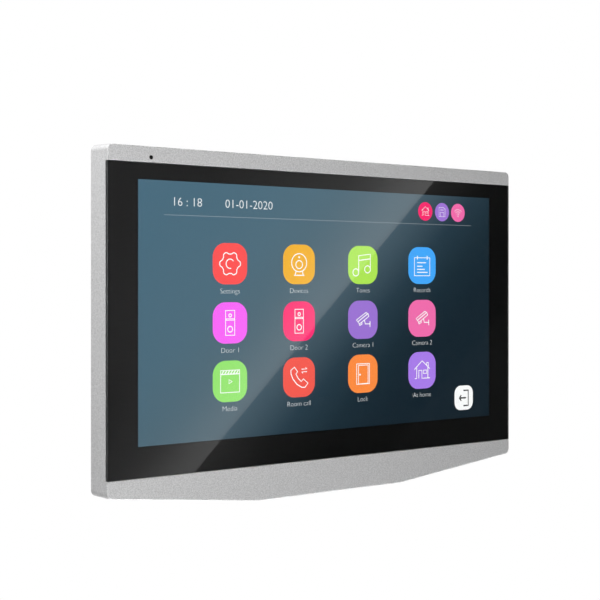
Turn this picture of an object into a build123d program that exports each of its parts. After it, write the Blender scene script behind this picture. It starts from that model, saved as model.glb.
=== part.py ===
from build123d import *
import os

# Wall-mounted video intercom monitor: a slim silver frame with a full-width cover glass and a
# 10.1 inch screen behind it, a speaker in the deeper chin, a main board and a side board inside,
# and a rear cover that hangs on a sheet-metal wall bracket.
#
# Millimetres.  +X is to the right, -Y is towards the person using it, +Z is up.  The wall is the
# plane Y = 0 and the origin is the centre of the bracket's screw pattern.  Places between the
# front face and the wall are given as a depth, measured back from the front face.

os.makedirs("parts", exist_ok=True)

# ---------------------------------------------------------------- Body and frame
body_width = 254.0
glass_height = 148.0          # the slot between the two silver bars
top_bar_height = 7.6
chin_height = 17.3            # at the middle
chin_end_height = 8.0         # at both sides
rear_spread = 1.0             # top and bottom lean out by this much from front to rear
chin_flat = 92.0              # level stretch of the chin's lower edge
body_depth = 18.0
wall_gap = 0.5                # between the rear cover and the wall
shell_wall = 2.0
bar_skin = 2.0                # front skin of the two bars
shelf_thickness = 2.0         # inner flange that carries glass and screen
corner_radius = 3.0
chin_bend_radius = 6.0
front_round = 0.6
slot_chamfer = 0.25           # bars' edges beside the glass
bar_rib = 1.5                 # solid rib between bar pocket and glass slot
pocket_end_gap = 2.0          # top bar's pocket to the right wall
pocket_mic_gap = 8.0          # and to the microphone's middle

# ---------------------------------------------------------------- Glass
glass_thickness = 1.6
glass_inset = 0.1             # behind the bars' front face, and in from each side
glass_slot_gap = 0.15         # to each bar
glass_chamfer = 0.15
border_thickness = 0.1
border_margin = 0.3           # printed border to the lit area
tape_thickness = 0.2
tape_inset = 0.7              # from the edge of the glass
glass_corner = 0.4

# ---------------------------------------------------------------- Screen module
active_width = 222.72
active_height = 125.28
active_rise = 3.37            # lit area's centre above the centre of the glass
active_shift = 0.7            # and to the right of the body's centre
module_side_margin = 5.7
module_top_margin = 5.6
module_bottom_margin = 12.1
module_gap = 0.3              # round the module in the frame's window
module_set_back = 0.1         # behind the shelf's front
bezel_wall = 0.5
bezel_lip = 0.3
bezel_window_margin = 0.8
bezel_corner = 0.8
cell_thickness = 1.4
cell_side_margin = 3.2
cell_top_margin = 3.1
cell_bottom_margin = 8.2      # its driver ledge
films_thickness = 0.6
films_margin = 1.5
guide_thickness = 1.8
guide_margin = 1.2
tray_thickness = 0.4
foam_thickness = 0.4
led_count = 24
led_size = 1.4
led_length = 3.64
led_strip = 0.5
led_end_gap = 3.0

# ---------------------------------------------------------------- Support plate and boards
plate_thickness = 0.8
plate_top = 66.0
plate_bottom = -62.0
plate_ear_height = 9.0
plate_ear_reach = 3.2         # beyond the boss's middle
plate_corner = 3.0
plate_ear_corner = 1.5
plate_hole_x = 56.0           # two lightening holes
plate_hole_z = 4.0
plate_hole_width = 70.0
plate_hole_height = 44.0
plate_hole_corner = 4.0
foam_pad_x = 60.0
foam_pad_z = 45.0
foam_pad_width = 40.0
foam_pad_height = 12.0
standoff_height = 1.2
standoff_radius = 2.25
pcb_thickness = 1.2
board_width = 180.0
board_height = 84.0
board_x = -2.0
board_z = -4.0
board_hole_inset = 3.5
board_hole_radius = 1.1
board_corner = 1.5
side_board_corner = 1.0
side_board_width = 22.5
side_board_height = 58.0
side_board_z = 17.0
side_board_edge_gap = 1.0     # to the side wall

# ---------------------------------------------------------------- Screws
boss_radius = 2.8
boss_wall_gap = 1.2           # between a boss and the wall beside it
pilot_radius = 1.1
pilot_depth = 9.0
plate_pilot_depth = 4.0
ear_boss_radius = 2.5
ear_pilot_depth = 5.0
case_head_radius = 2.3
case_head_height = 1.6
case_screw_length = 8.0
plate_head_radius = 2.2
plate_head_height = 1.0
plate_screw_length = 4.2
board_head_radius = 1.9
board_head_height = 1.2
ear_head_radius = 2.2
ear_head_height = 1.2
ear_screw_length = 5.0
thread_gap = 0.05             # between a screw's shank and its pilot hole
case_boss_z = 55.0
plate_boss_z = 30.0
top_boss_x = 50.0
chin_boss_x = 60.0
chin_boss_drop = 6.0          # below the glass slot

# ---------------------------------------------------------------- Rear cover
cover_thickness = 1.8
cover_gap = 0.2
post_height = 1.2
post_radius = 3.5
counterbore_radius = 2.6
clearance_radius = 1.45
recess_depth = 3.4
recess_side_gap = 3.0
recess_top_gap = 0.75
recess_bottom_gap = 1.0       # left under the bracket when the monitor is lifted
vent_length = 26.0
vent_width = 1.6
vent_pitch = 4.6
vent_count = 8
recess_corner = 2.0
bay_corner = 1.0
label_width = 60.0
label_height = 12.0
label_drop = 10.0             # its middle below the recess
label_thickness = 0.1

# ---------------------------------------------------------------- Wall bracket
bracket_width = 130.0
bracket_height = 100.0
bracket_thickness = 1.2
bracket_window_width = 84.0
bracket_window_height = 56.0
bracket_corner = 4.0
flange_height = 2.0
wall_screw_x = 54.0
wall_screw_z = 41.0
wall_screw_radius = 2.25
box_screw_z = 41.75           # two-screw line of a wall box
box_slot_length = 9.0
hook_neck = 5.0
hook_lip = 3.5
hook_gap = 0.3                # lip to the recess floor
hang_gap = 0.1                # neck to the top of its slot
hook_side_gap = 0.9
lift_margin = 1.0
slot_end_gap = 0.3
upper_hook_z = 30.0           # underside of each neck
lower_hook_z = -25.0

# ---------------------------------------------------------------- Cable headers in the terminal bay
header_height = 7.0
header_depth = 5.75
header_wall = 0.9
header_floor = 1.4
pin_pitch = 2.5
pin_width = 0.64
pin_gap = 0.03
pin_rise = 4.2                # above the header's floor
header_z = -20.0
header_spacing = 1.6
header_end = 2.45             # outer pin to the header's end
key_slot_width = 1.2          # polarising slots in each header's lower wall
key_slot_inset = 2.6
bay_gap = 1.5

# ---------------------------------------------------------------- Speaker and microphone
speaker_length = 40.0
speaker_width = 11.0
speaker_height = 5.0
speaker_depth = 10.4          # depth of its centre line
speaker_wall = 1.2
speaker_corner = 2.0
gasket_thickness = 1.0
basket_round = 0.6
cavity_corner = 1.5
magnet_height = 2.6
ear_depth = 8.0
ear_length = 7.5
ear_thickness = 1.2
ear_width = 5.4
ear_root = 0.6                # inside the basket's wall
ear_screw_rise = 3.4          # above the gasket
ear_screw_outset = 0.4        # beyond the ear's middle
magnet_length = 22.0
magnet_width = 8.0
magnet_corner = 1.2
surround_thickness = 0.5
surround_roll = 3.0           # its width at each end of the cone
surround_side_roll = 2.0
cone_wall = 0.6
cone_corner = 1.3
cone_gap = 0.1
speaker_slot_count = 10
speaker_slot_pitch = 3.2
speaker_slot_width = 1.2
speaker_slot_length = 7.0
mic_x = -104.5
mic_rise = 2.4                # above the glass slot
mic_hole_radius = 1.0
mic_capsule_radius = 2.0
mic_capsule_height = 1.5
mic_boot_wall = 0.5
mic_boot_height = 3.0
mic_boot_lip = 0.6
mic_collar_gap = 0.1
mic_collar_wall = 0.8
mic_collar_height = 1.5
mic_port_radius = 0.4
mic_port_depth = 0.3

# ---------------------------------------------------------------- Side controls
card_z = 34.0
card_length = 15.0
card_width = 11.0
card_thickness = 0.7
card_set_back = 0.6           # behind the side face
card_push = 0.6
card_gap = 0.2
card_step = 1.3               # notch in its lower edge
card_step_start = 6.0         # from its inner end
card_grip = 0.15              # raised lip at its outer end
socket_wall = 0.3
scoop_radius = 30.0
scoop_depth = 0.9
reset_z = 12.0
reset_hole_radius = 0.8
reset_travel = 0.25
reset_body_length = 3.6
reset_body_width = 4.8
reset_body_height = 2.0
reset_inset = 1.0             # behind the side board's edge
reset_well = 1.2
plunger_radius = 0.65
plunger_length = 1.8
plunger_out = 1.0             # in front of its switch
plunger_gap = 0.1
power_z = -2.0
power_travel = 2.0
power_body_length = 3.6
power_body_width = 9.0
power_body_height = 3.5
power_inset = 0.6             # behind the side board's edge
power_well = 1.4
knob_root = 1.1               # of the knob inside its switch
knob_length = 2.6
knob_thickness = 1.6
knob_set_back = 0.4
knob_gap = 0.3

# ---------------------------------------------------------------- Leads and ribbons
ribbon_thickness = 0.12
touch_ribbon_width = 12.0
touch_ribbon_x = 20.0
lcd_ribbon_width = 24.0
lcd_ribbon_x = 10.0
side_ribbon_width = 8.0
side_ribbon_z = 8.0
connector_depth = 3.0
connector_height = 1.2
lead_radius = 0.6
antenna_lead_radius = 0.55
plug_width = 6.0
plug_depth = 5.0
plug_height = 3.0
plug_chamfer = 0.4
ribbon_side_gap = 1.0
ribbon_notch_height = 2.3     # of the notch in the frame's window
touch_ribbon_lap = 0.6        # under the glass border
touch_ribbon_rise = 1.6       # above the module
lcd_ribbon_start = 2.0        # above the module's lower edge
lcd_ribbon_turn = 6.8
connector_inset = 2.0         # from a board's edge
connector_side = 1.5          # beyond each side of its ribbon

# ---------------------------------------------------------------- Worked out from the sizes above
total_depth = body_depth + wall_gap
half_width = body_width / 2
glass_top = glass_height / 2
top_z = glass_top + top_bar_height
bottom_z = -glass_top - chin_height
chin_end_z = -glass_top - chin_end_height
inner_x = half_width - shell_wall
inner_top = top_z - shell_wall
chin_floor = bottom_z + shell_wall

glass_back = glass_inset + glass_thickness
border_back = glass_back + border_thickness
shelf_front = border_back + tape_thickness
shelf_back = shelf_front + shelf_thickness

module_width = active_width + 2 * module_side_margin
module_height = active_height + module_top_margin + module_bottom_margin
module_z = active_rise + (module_top_margin - module_bottom_margin) / 2
module_top = module_z + module_height / 2
module_bottom = module_z - module_height / 2
bezel_front = shelf_front + module_set_back
cell_front = bezel_front + bezel_lip
films_front = cell_front + cell_thickness
guide_front = films_front + films_thickness
tray_front = guide_front + guide_thickness
tray_back = tray_front + tray_thickness
plate_front = tray_back + foam_thickness
plate_back = plate_front + plate_thickness
pcb_front = plate_back + standoff_height
pcb_back = pcb_front + pcb_thickness

boss_x = inner_x - boss_wall_gap - boss_radius
top_boss_z = inner_top - boss_wall_gap - boss_radius + 0.1
chin_boss_z = -glass_top - chin_boss_drop
plate_half_width = boss_x - boss_radius - 0.7
shank_radius = pilot_radius - thread_gap
board_screw_length = pcb_thickness + standoff_height - 0.1
cover_front = body_depth - cover_thickness
post_front = cover_front - post_height
recess_floor = body_depth - recess_depth
recess_front = recess_floor - cover_thickness
bracket_front = total_depth - bracket_thickness
lift_travel = hook_lip + lift_margin
hook_slot_height = hook_neck + lift_travel + slot_end_gap
recess_top = bracket_height / 2 + recess_top_gap
recess_bottom = -bracket_height / 2 - lift_travel - recess_bottom_gap
recess_width = bracket_width + 2 * recess_side_gap
hook_x = (bracket_width - bracket_thickness) / 2

mic_z = glass_top + mic_rise
mic_boot_radius = mic_capsule_radius + mic_boot_wall
side_board_right = inner_x - side_board_edge_gap
side_board_x = side_board_right - side_board_width / 2
card_depth = pcb_back + socket_wall + card_gap + card_thickness / 2
reset_depth = pcb_back + reset_body_height / 2
power_depth = pcb_back + power_body_height / 2

case_screw_points = (
    [(x, z) for x in (-boss_x, boss_x) for z in (-case_boss_z, case_boss_z)]
    + [(x, top_boss_z) for x in (-top_boss_x, top_boss_x)]
    + [(x, chin_boss_z) for x in (-chin_boss_x, chin_boss_x)]
)
plate_screw_points = [(x, z) for x in (-boss_x, boss_x) for z in (-plate_boss_z, plate_boss_z)]
board_screw_x = board_width / 2 - board_hole_inset
board_screw_z = board_height / 2 - board_hole_inset
board_screw_points = [
    (board_x + x * board_screw_x, board_z + z * board_screw_z) for x in (-1, 1) for z in (-1, 1)
]
side_screw_x = side_board_x - side_board_width / 2 + board_hole_inset
side_screw_points = [
    (side_screw_x, side_board_z + z * (side_board_height / 2 - board_hole_inset)) for z in (-1, 1)
]
speaker_screw_x = (speaker_length + ear_length) / 2 + ear_screw_outset
speaker_screw_z = chin_floor + gasket_thickness + ear_screw_rise
speaker_screw_points = [(-speaker_screw_x, speaker_screw_z), (speaker_screw_x, speaker_screw_z)]


def y_at(depth):
    """The Y coordinate of a depth behind the front face."""
    return depth - total_depth


def layer(depth):
    """A plane parallel to the wall; its sketches read (X, Z) and extrude towards the front."""
    return Plane.XZ.offset(total_depth - depth)


def save(piece, name):
    """Label a finished piece and write it as its own STEP file."""
    piece.part.label = name
    export_step(piece.part, f"parts/{name}.step")


def body_outline(inset, spread=0.0):
    """The body's front view: this far inside its edge, with top and bottom spread outwards."""
    upper, lower, lower_end = top_z + spread, bottom_z - spread, chin_end_z - spread
    with BuildSketch(Plane.XY) as outline:
        with BuildLine():
            Polyline(
                (-half_width, upper),
                (half_width, upper),
                (half_width, lower_end),
                (chin_flat / 2, lower),
                (-chin_flat / 2, lower),
                (-half_width, lower_end),
                close=True,
            )
        make_face()
        corners = outline.vertices().filter_by(lambda v: abs(v.X) > half_width - 0.1)
        fillet(corners, corner_radius)
        bends = outline.vertices().filter_by(lambda v: v.Y < lower + 0.1 and abs(v.X) < half_width - 0.1)
        fillet(bends, chin_bend_radius)
        if inset > 0:
            offset(amount=-inset)
    return outline.sketch


def slab(back, thickness, width, height, x=0.0, z=0.0):
    """A flat rectangular piece parallel to the wall, from its rear face forwards."""
    with BuildPart() as piece:
        with BuildSketch(layer(back)):
            with Locations((x, z)):
                Rectangle(width, height)
        extrude(amount=thickness)
    return piece


def screws(points, seat, head_radius, head_height, shank_radius, length):
    """Cross-head screws driven from the rear; each head stands on the seat depth."""
    with BuildPart() as group:
        with BuildSketch(layer(seat + head_height)):
            with Locations(*points):
                Circle(head_radius)
        extrude(amount=head_height)
        chamfer(group.edges().filter_by(GeomType.CIRCLE).group_by(Axis.Y)[-1], head_height / 4)
        with BuildSketch(layer(seat)):
            with Locations(*points):
                Circle(shank_radius)
        extrude(amount=length)
        with BuildSketch(layer(seat + head_height)):
            with Locations(*points):
                Rectangle(head_radius, head_radius / 4)
                Rectangle(head_radius / 4, head_radius)
        extrude(amount=head_height / 2, mode=Mode.SUBTRACT)
    return group


def ribbon(points, radii):
    """The side view of a flat ribbon cable that follows these points with rounded bends."""
    with BuildSketch(Plane.XY) as section:
        with BuildLine(mode=Mode.PRIVATE) as path:
            FilletPolyline(*points, radius=radii)
        trace(path.line, line_width=ribbon_thickness)
    return section.sketch


def lead(points, radii, radius):
    """A round lead through these points, with tangent arcs at its bends."""
    with BuildPart() as tube:
        with BuildLine() as path:
            FilletPolyline(*points, radius=radii)
        with BuildSketch(Plane(origin=path.line @ 0, z_dir=path.line % 0)):
            Circle(radius)
        sweep(path=path.line)
    return tube


inner_outline = body_outline(shell_wall)
cover_outline = body_outline(shell_wall + cover_gap)

# ---------------------------------------------------------------- Wall bracket
with BuildPart() as wall_bracket:
    with BuildSketch(layer(total_depth)):
        RectangleRounded(bracket_width, bracket_height, bracket_corner)
        RectangleRounded(bracket_window_width, bracket_window_height, bracket_corner, mode=Mode.SUBTRACT)
        with GridLocations(2 * wall_screw_x, 2 * wall_screw_z, 2, 2):
            Circle(wall_screw_radius, mode=Mode.SUBTRACT)
        with GridLocations(1, 2 * box_screw_z, 1, 2):
            SlotOverall(box_slot_length, 2 * wall_screw_radius, rotation=90, mode=Mode.SUBTRACT)
    extrude(amount=bracket_thickness)
    flange_planes = [
        Plane.YZ.offset(bracket_width / 2 - bracket_thickness),
        Plane.YZ.offset(-bracket_width / 2),
    ]
    with BuildSketch(*flange_planes):
        with Locations((y_at(bracket_front - flange_height / 2), 0)):
            Rectangle(flange_height, bracket_height - 3 * bracket_corner)
        for hook_z in (upper_hook_z, lower_hook_z):
            hook_tip = recess_front - hook_gap - bracket_thickness
            with BuildLine():
                Polyline(
                    (y_at(bracket_front), hook_z),
                    (y_at(hook_tip), hook_z),
                    (y_at(hook_tip), hook_z + hook_neck + hook_lip),
                    (y_at(recess_front - hook_gap), hook_z + hook_neck + hook_lip),
                    (y_at(recess_front - hook_gap), hook_z + hook_neck),
                    (y_at(bracket_front), hook_z + hook_neck),
                    close=True,
                )
            make_face()
    extrude(amount=bracket_thickness)
save(wall_bracket, "wall_bracket")

# ---------------------------------------------------------------- Front frame
with BuildPart() as front_frame:
    with BuildSketch(layer(body_depth)):
        add(body_outline(0, rear_spread))
    with BuildSketch(layer(0)):
        add(body_outline(0))
    loft(ruled=True)
    fillet(front_frame.faces().sort_by(Axis.Y)[0].edges(), front_round)

    # slot for the glass, open at both sides, with a small chamfer along each bar
    with BuildSketch(Plane.YZ.offset(-half_width - 1)):
        with BuildLine():
            Polyline(
                (y_at(shelf_front), -glass_top),
                (y_at(slot_chamfer), -glass_top),
                (y_at(-1), -glass_top - slot_chamfer - 1),
                (y_at(-1), glass_top + slot_chamfer + 1),
                (y_at(slot_chamfer), glass_top),
                (y_at(shelf_front), glass_top),
                close=True,
            )
        make_face()
    extrude(amount=body_width + 2, mode=Mode.SUBTRACT)

    # hollow behind the shelf, and the pockets behind the bars
    with BuildSketch(layer(body_depth)):
        add(inner_outline)
    extrude(amount=body_depth - shelf_back, mode=Mode.SUBTRACT)
    with BuildSketch(layer(shelf_back)):
        add(inner_outline)
        with Locations((0, -glass_top - bar_rib - chin_height)):
            Rectangle(body_width, 2 * chin_height, mode=Mode.INTERSECT)
    extrude(amount=shelf_back - bar_skin, mode=Mode.SUBTRACT)
    pocket_left = mic_x + pocket_mic_gap
    pocket_right = inner_x - pocket_end_gap
    with BuildSketch(layer(shelf_back)):
        with Locations(((pocket_left + pocket_right) / 2, (glass_top + bar_rib + inner_top) / 2)):
            Rectangle(pocket_right - pocket_left, inner_top - glass_top - bar_rib)
    extrude(amount=shelf_back - bar_skin, mode=Mode.SUBTRACT)

    # window for the screen module, with a notch for the touch ribbon
    with BuildSketch(layer(shelf_back)):
        with Locations((active_shift, module_z)):
            Rectangle(module_width + 2 * module_gap, module_height + 2 * module_gap)
        with Locations((touch_ribbon_x, module_top)):
            Rectangle(touch_ribbon_width + 2 * ribbon_side_gap, 2 * ribbon_notch_height)
    extrude(amount=shelf_back, mode=Mode.SUBTRACT)

    # screw bosses
    with BuildSketch(layer(post_front)):
        with Locations(*case_screw_points):
            Circle(boss_radius)
    extrude(amount=post_front - shelf_front)
    with BuildSketch(layer(plate_front)):
        with Locations(*plate_screw_points):
            Circle(boss_radius)
    extrude(amount=plate_front - shelf_front)
    with BuildSketch(layer(ear_depth)):
        with Locations(*speaker_screw_points):
            Circle(ear_boss_radius)
    extrude(amount=ear_depth - bar_skin)
    with BuildSketch(layer(post_front)):
        with Locations(*case_screw_points):
            Circle(pilot_radius)
    extrude(amount=pilot_depth, mode=Mode.SUBTRACT)
    with BuildSketch(layer(plate_front)):
        with Locations(*plate_screw_points):
            Circle(pilot_radius)
    extrude(amount=plate_pilot_depth, mode=Mode.SUBTRACT)
    with BuildSketch(layer(ear_depth)):
        with Locations(*speaker_screw_points):
            Circle(pilot_radius)
    extrude(amount=ear_pilot_depth, mode=Mode.SUBTRACT)

    # microphone hole with the collar that holds its boot
    with BuildSketch(layer(shelf_back + mic_collar_height)):
        with Locations((mic_x, mic_z)):
            Circle(mic_boot_radius + mic_collar_gap + mic_collar_wall)
            Circle(mic_boot_radius + mic_collar_gap, mode=Mode.SUBTRACT)
    extrude(amount=mic_collar_height)
    with BuildSketch(layer(shelf_back)):
        with Locations((mic_x, mic_z)):
            Circle(mic_hole_radius)
    extrude(amount=shelf_back + 1, mode=Mode.SUBTRACT)

    # speaker slots in the chin's lower wall
    with BuildSketch(Plane.XY.offset(bottom_z - rear_spread)):
        with Locations((0, y_at(speaker_depth))):
            with GridLocations(speaker_slot_pitch, 1, speaker_slot_count, 1):
                SlotOverall(speaker_slot_length, speaker_slot_width, rotation=90)
    extrude(amount=rear_spread + shell_wall, mode=Mode.SUBTRACT)

    # card slot in its finger scoop, reset pin-hole and power switch window in the right wall
    with Locations((half_width + scoop_radius - scoop_depth, y_at(card_depth), card_z)):
        Sphere(scoop_radius, mode=Mode.SUBTRACT)
    with BuildSketch(Plane.YZ.offset(half_width)):
        with Locations((y_at(card_depth), card_z)):
            Rectangle(card_thickness + 4 * card_gap, card_width + 4 * card_gap)
        with Locations((y_at(reset_depth), reset_z)):
            Circle(reset_hole_radius)
        with Locations((y_at(power_depth), power_z + power_travel / 2)):
            Rectangle(knob_thickness + 2 * knob_gap, knob_length + power_travel + 2 * knob_gap)
    extrude(amount=-shell_wall, mode=Mode.SUBTRACT)
save(front_frame, "front_frame")

# ---------------------------------------------------------------- Cover glass, its print and tape
glass_width = body_width - 2 * glass_inset
glass_cut_height = glass_height - 2 * glass_slot_gap

with BuildPart() as cover_glass:
    with BuildSketch(layer(glass_back)):
        RectangleRounded(glass_width, glass_cut_height, glass_corner)
    extrude(amount=glass_thickness)
    chamfer(cover_glass.faces().sort_by(Axis.Y)[0].edges(), glass_chamfer)
save(cover_glass, "cover_glass")

with BuildPart() as glass_border:
    with BuildSketch(layer(border_back)):
        Rectangle(glass_width - 2 * glass_inset, glass_cut_height - 2 * glass_inset)
        with Locations((active_shift, active_rise)):
            window_width = active_width + 2 * border_margin
            Rectangle(window_width, active_height + 2 * border_margin, mode=Mode.SUBTRACT)
    extrude(amount=border_thickness)
save(glass_border, "glass_border")

with BuildPart() as glass_tape:
    with BuildSketch(layer(shelf_front)):
        Rectangle(glass_width - 2 * tape_inset, glass_cut_height - 2 * tape_inset)
        with Locations((active_shift, module_z)):
            hole_width = module_width + 4 * module_gap
            Rectangle(hole_width, module_height + 4 * module_gap, mode=Mode.SUBTRACT)
        with Locations((touch_ribbon_x, glass_top)):
            notch_width = touch_ribbon_width + 2 * ribbon_side_gap
            Rectangle(notch_width, 2 * (glass_top - module_top), mode=Mode.SUBTRACT)
    extrude(amount=tape_thickness)
save(glass_tape, "glass_tape")

touch_rise_z = module_top + touch_ribbon_rise
board_top = board_z + board_height / 2
board_bottom = board_z - board_height / 2
ribbon_depth = pcb_back + connector_height / 2
with BuildPart() as touch_flex:
    with BuildSketch(Plane.YZ.offset(touch_ribbon_x)):
        add(
            ribbon(
                [
                    (y_at(border_back + ribbon_thickness / 2), module_top - touch_ribbon_lap),
                    (y_at(border_back + ribbon_thickness / 2), touch_rise_z),
                    (y_at(ribbon_depth), touch_rise_z),
                    (y_at(ribbon_depth), board_top - connector_inset),
                ],
                [0.5, 2.0],
            )
        )
    extrude(amount=touch_ribbon_width / 2, both=True)
save(touch_flex, "touch_flex")

# ---------------------------------------------------------------- Screen module
with BuildPart() as lcd_bezel:
    with BuildSketch(layer(tray_front)):
        with Locations((active_shift, module_z)):
            RectangleRounded(module_width, module_height, bezel_corner)
    extrude(amount=tray_front - bezel_front)
    with BuildSketch(layer(tray_front)):
        with Locations((active_shift, module_z)):
            Rectangle(module_width - 2 * bezel_wall, module_height - 2 * bezel_wall)
    extrude(amount=tray_front - cell_front, mode=Mode.SUBTRACT)
    with BuildSketch(layer(cell_front)):
        with Locations((active_shift, active_rise)):
            Rectangle(active_width + 2 * bezel_window_margin, active_height + 2 * bezel_window_margin)
    extrude(amount=bezel_lip, mode=Mode.SUBTRACT)
save(lcd_bezel, "lcd_bezel")

cell_width = active_width + 2 * cell_side_margin
cell_height = active_height + cell_top_margin + cell_bottom_margin
cell_z = active_rise + (cell_top_margin - cell_bottom_margin) / 2
lcd_cell = slab(films_front, cell_thickness, cell_width, cell_height, active_shift, cell_z)
save(lcd_cell, "lcd_cell")

films_width = active_width + 2 * films_margin
films_height = active_height + 2 * films_margin
lcd_films = slab(guide_front, films_thickness, films_width, films_height, active_shift, active_rise)
save(lcd_films, "lcd_films")

guide_width = active_width + 2 * guide_margin
guide_height = active_height + 2 * guide_margin
guide_bottom = active_rise - guide_height / 2
lcd_light_guide = slab(
    tray_front, guide_thickness, guide_width, guide_height, active_shift, active_rise
)
save(lcd_light_guide, "lcd_light_guide")

with BuildPart() as lcd_led_bar:
    with BuildSketch(layer(tray_front)):
        with Locations((active_shift, guide_bottom - led_size - led_strip / 2)):
            Rectangle(guide_width - 2 * led_end_gap, led_strip)
    extrude(amount=guide_thickness)
    with BuildSketch(layer(tray_front)):
        with Locations((active_shift, guide_bottom - led_size / 2)):
            with GridLocations((guide_width - 4 * led_end_gap) / led_count, 1, led_count, 1):
                Rectangle(led_length, led_size)
    extrude(amount=led_size)
save(lcd_led_bar, "lcd_led_bar")

lcd_back_tray = slab(tray_back, tray_thickness, module_width, module_height, active_shift, module_z)
save(lcd_back_tray, "lcd_back_tray")

lcd_rise_z = module_bottom + lcd_ribbon_turn
with BuildPart() as lcd_flex:
    with BuildSketch(Plane.YZ.offset(lcd_ribbon_x)):
        add(
            ribbon(
                [
                    (y_at(tray_back + ribbon_thickness / 2), module_bottom + lcd_ribbon_start),
                    (y_at(tray_back + ribbon_thickness / 2), lcd_rise_z),
                    (y_at(ribbon_depth), lcd_rise_z),
                    (y_at(ribbon_depth), board_bottom + connector_inset),
                ],
                [0.8, 1.5],
            )
        )
    extrude(amount=lcd_ribbon_width / 2, both=True)
save(lcd_flex, "lcd_flex")

with BuildPart() as lcd_foam_pads:
    with BuildSketch(layer(plate_front)):
        with GridLocations(2 * foam_pad_x, 2 * foam_pad_z, 2, 2):
            Rectangle(foam_pad_width, foam_pad_height)
    extrude(amount=foam_thickness)
save(lcd_foam_pads, "lcd_foam_pads")

# ---------------------------------------------------------------- Support plate
with BuildPart() as support_plate:
    with BuildSketch(layer(plate_back)):
        with Locations((0, (plate_top + plate_bottom) / 2)):
            RectangleRounded(2 * plate_half_width, plate_top - plate_bottom, plate_corner)
        with GridLocations(1, 2 * plate_boss_z, 1, 2):
            RectangleRounded(2 * (boss_x + plate_ear_reach), plate_ear_height, plate_ear_corner)
        with Locations((-plate_hole_x, plate_hole_z), (plate_hole_x, plate_hole_z)):
            RectangleRounded(plate_hole_width, plate_hole_height, plate_hole_corner, mode=Mode.SUBTRACT)
        with Locations(*plate_screw_points):
            Circle(clearance_radius, mode=Mode.SUBTRACT)
    extrude(amount=plate_thickness)
save(support_plate, "support_plate")

plate_screws = screws(
    plate_screw_points, plate_back, plate_head_radius, plate_head_height, shank_radius,
    plate_screw_length,
)
save(plate_screws, "plate_screws")

# ---------------------------------------------------------------- Main board
with BuildPart() as board_standoffs:
    with BuildSketch(layer(pcb_front)):
        with Locations(*board_screw_points, *side_screw_points):
            Circle(standoff_radius)
            Circle(board_hole_radius, mode=Mode.SUBTRACT)
    extrude(amount=standoff_height)
save(board_standoffs, "board_standoffs")

with BuildPart() as main_board:
    with BuildSketch(layer(pcb_back)):
        with Locations((board_x, board_z)):
            RectangleRounded(board_width, board_height, board_corner)
        with Locations(*board_screw_points):
            Circle(board_hole_radius, mode=Mode.SUBTRACT)
    extrude(amount=pcb_thickness)
save(main_board, "main_board")

board_shank_radius = board_hole_radius - thread_gap
board_screws = screws(
    board_screw_points, pcb_back, board_head_radius, board_head_height, board_shank_radius,
    board_screw_length,
)
save(board_screws, "board_screws")


def board_part(height, width, length, x, z):
    """A flat rectangular part standing on the rear face of a board."""
    return slab(pcb_back + height, height, width, length, x, z)


processor_size = 16.0
processor_height = 1.3
processor_x = -8.0
chip_z = 18.0
processor = board_part(processor_height, processor_size, processor_size, processor_x, chip_z)
chamfer(processor.faces().sort_by(Axis.Y)[-1].edges(), 0.2)
save(processor, "processor")

memory_height = 1.1
memory_width = 9.0
memory_length = 13.0
memory_x = [8.0, 20.0, -22.0]
with BuildPart() as memory_chips:
    with BuildSketch(layer(pcb_back + memory_height)):
        with Locations(*[(x, chip_z) for x in memory_x]):
            Rectangle(memory_width, memory_length)
    extrude(amount=memory_height)
save(memory_chips, "memory_chips")

can_place = (-44.0, 14.0)
can_width = 24.0
can_length = 20.0
can_height = 2.0
can_wall = 0.2
with BuildPart() as shield_can:
    with BuildSketch(layer(pcb_back + can_height)):
        with Locations(can_place):
            RectangleRounded(can_width, can_length, 1)
    extrude(amount=can_height)
    with BuildSketch(layer(pcb_back + can_height - can_wall)):
        with Locations(can_place):
            Rectangle(can_width - 2 * can_wall, can_length - 2 * can_wall)
    extrude(amount=can_height - can_wall, mode=Mode.SUBTRACT)
save(shield_can, "shield_can")

wifi_x = -78.0
wifi_z = 26.0
wifi_size = 12.0
wifi_height = 2.0
wifi_module = board_part(wifi_height, wifi_size, wifi_size, wifi_x, wifi_z)
save(wifi_module, "wifi_module")

antenna_thickness = 0.5
antenna_length = 32.0
antenna_width = 8.0
antenna_x = wifi_x + 4
antenna_depth = 10.0
with BuildPart() as wifi_antenna:
    with BuildSketch(Plane.XY.offset(inner_top - antenna_thickness)):
        with Locations((antenna_x, y_at(antenna_depth))):
            RectangleRounded(antenna_length, antenna_width, 1)
    extrude(amount=antenna_thickness)
save(wifi_antenna, "wifi_antenna")

lead_y = y_at(pcb_back + 1.3)
antenna_lead = lead(
    [
        (wifi_x, lead_y, wifi_z + wifi_size / 2),
        (wifi_x, lead_y, 56),
        (antenna_x, lead_y, 66),
        (antenna_x, lead_y, inner_top - antenna_thickness),
    ],
    [8, 6],
    antenna_lead_radius,
)
save(antenna_lead, "antenna_lead")

power_part_x = 78.0
capacitor_points = [(power_part_x, 24.0), (power_part_x, 15.0)]
capacitor_base = 6.6
capacitor_base_height = 0.6
capacitor_radius = 3.15
capacitor_height = 5.2
with BuildPart() as board_capacitors:
    with BuildSketch(layer(pcb_back + capacitor_base_height)):
        with Locations(*capacitor_points):
            Rectangle(capacitor_base, capacitor_base)
    extrude(amount=capacitor_base_height)
    with BuildSketch(layer(pcb_back + capacitor_height)):
        with Locations(*capacitor_points):
            Circle(capacitor_radius)
    extrude(amount=capacitor_height - capacitor_base_height)
    fillet(board_capacitors.edges().filter_by(GeomType.CIRCLE).group_by(Axis.Y)[-1], 0.4)
save(board_capacitors, "board_capacitors")

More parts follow.
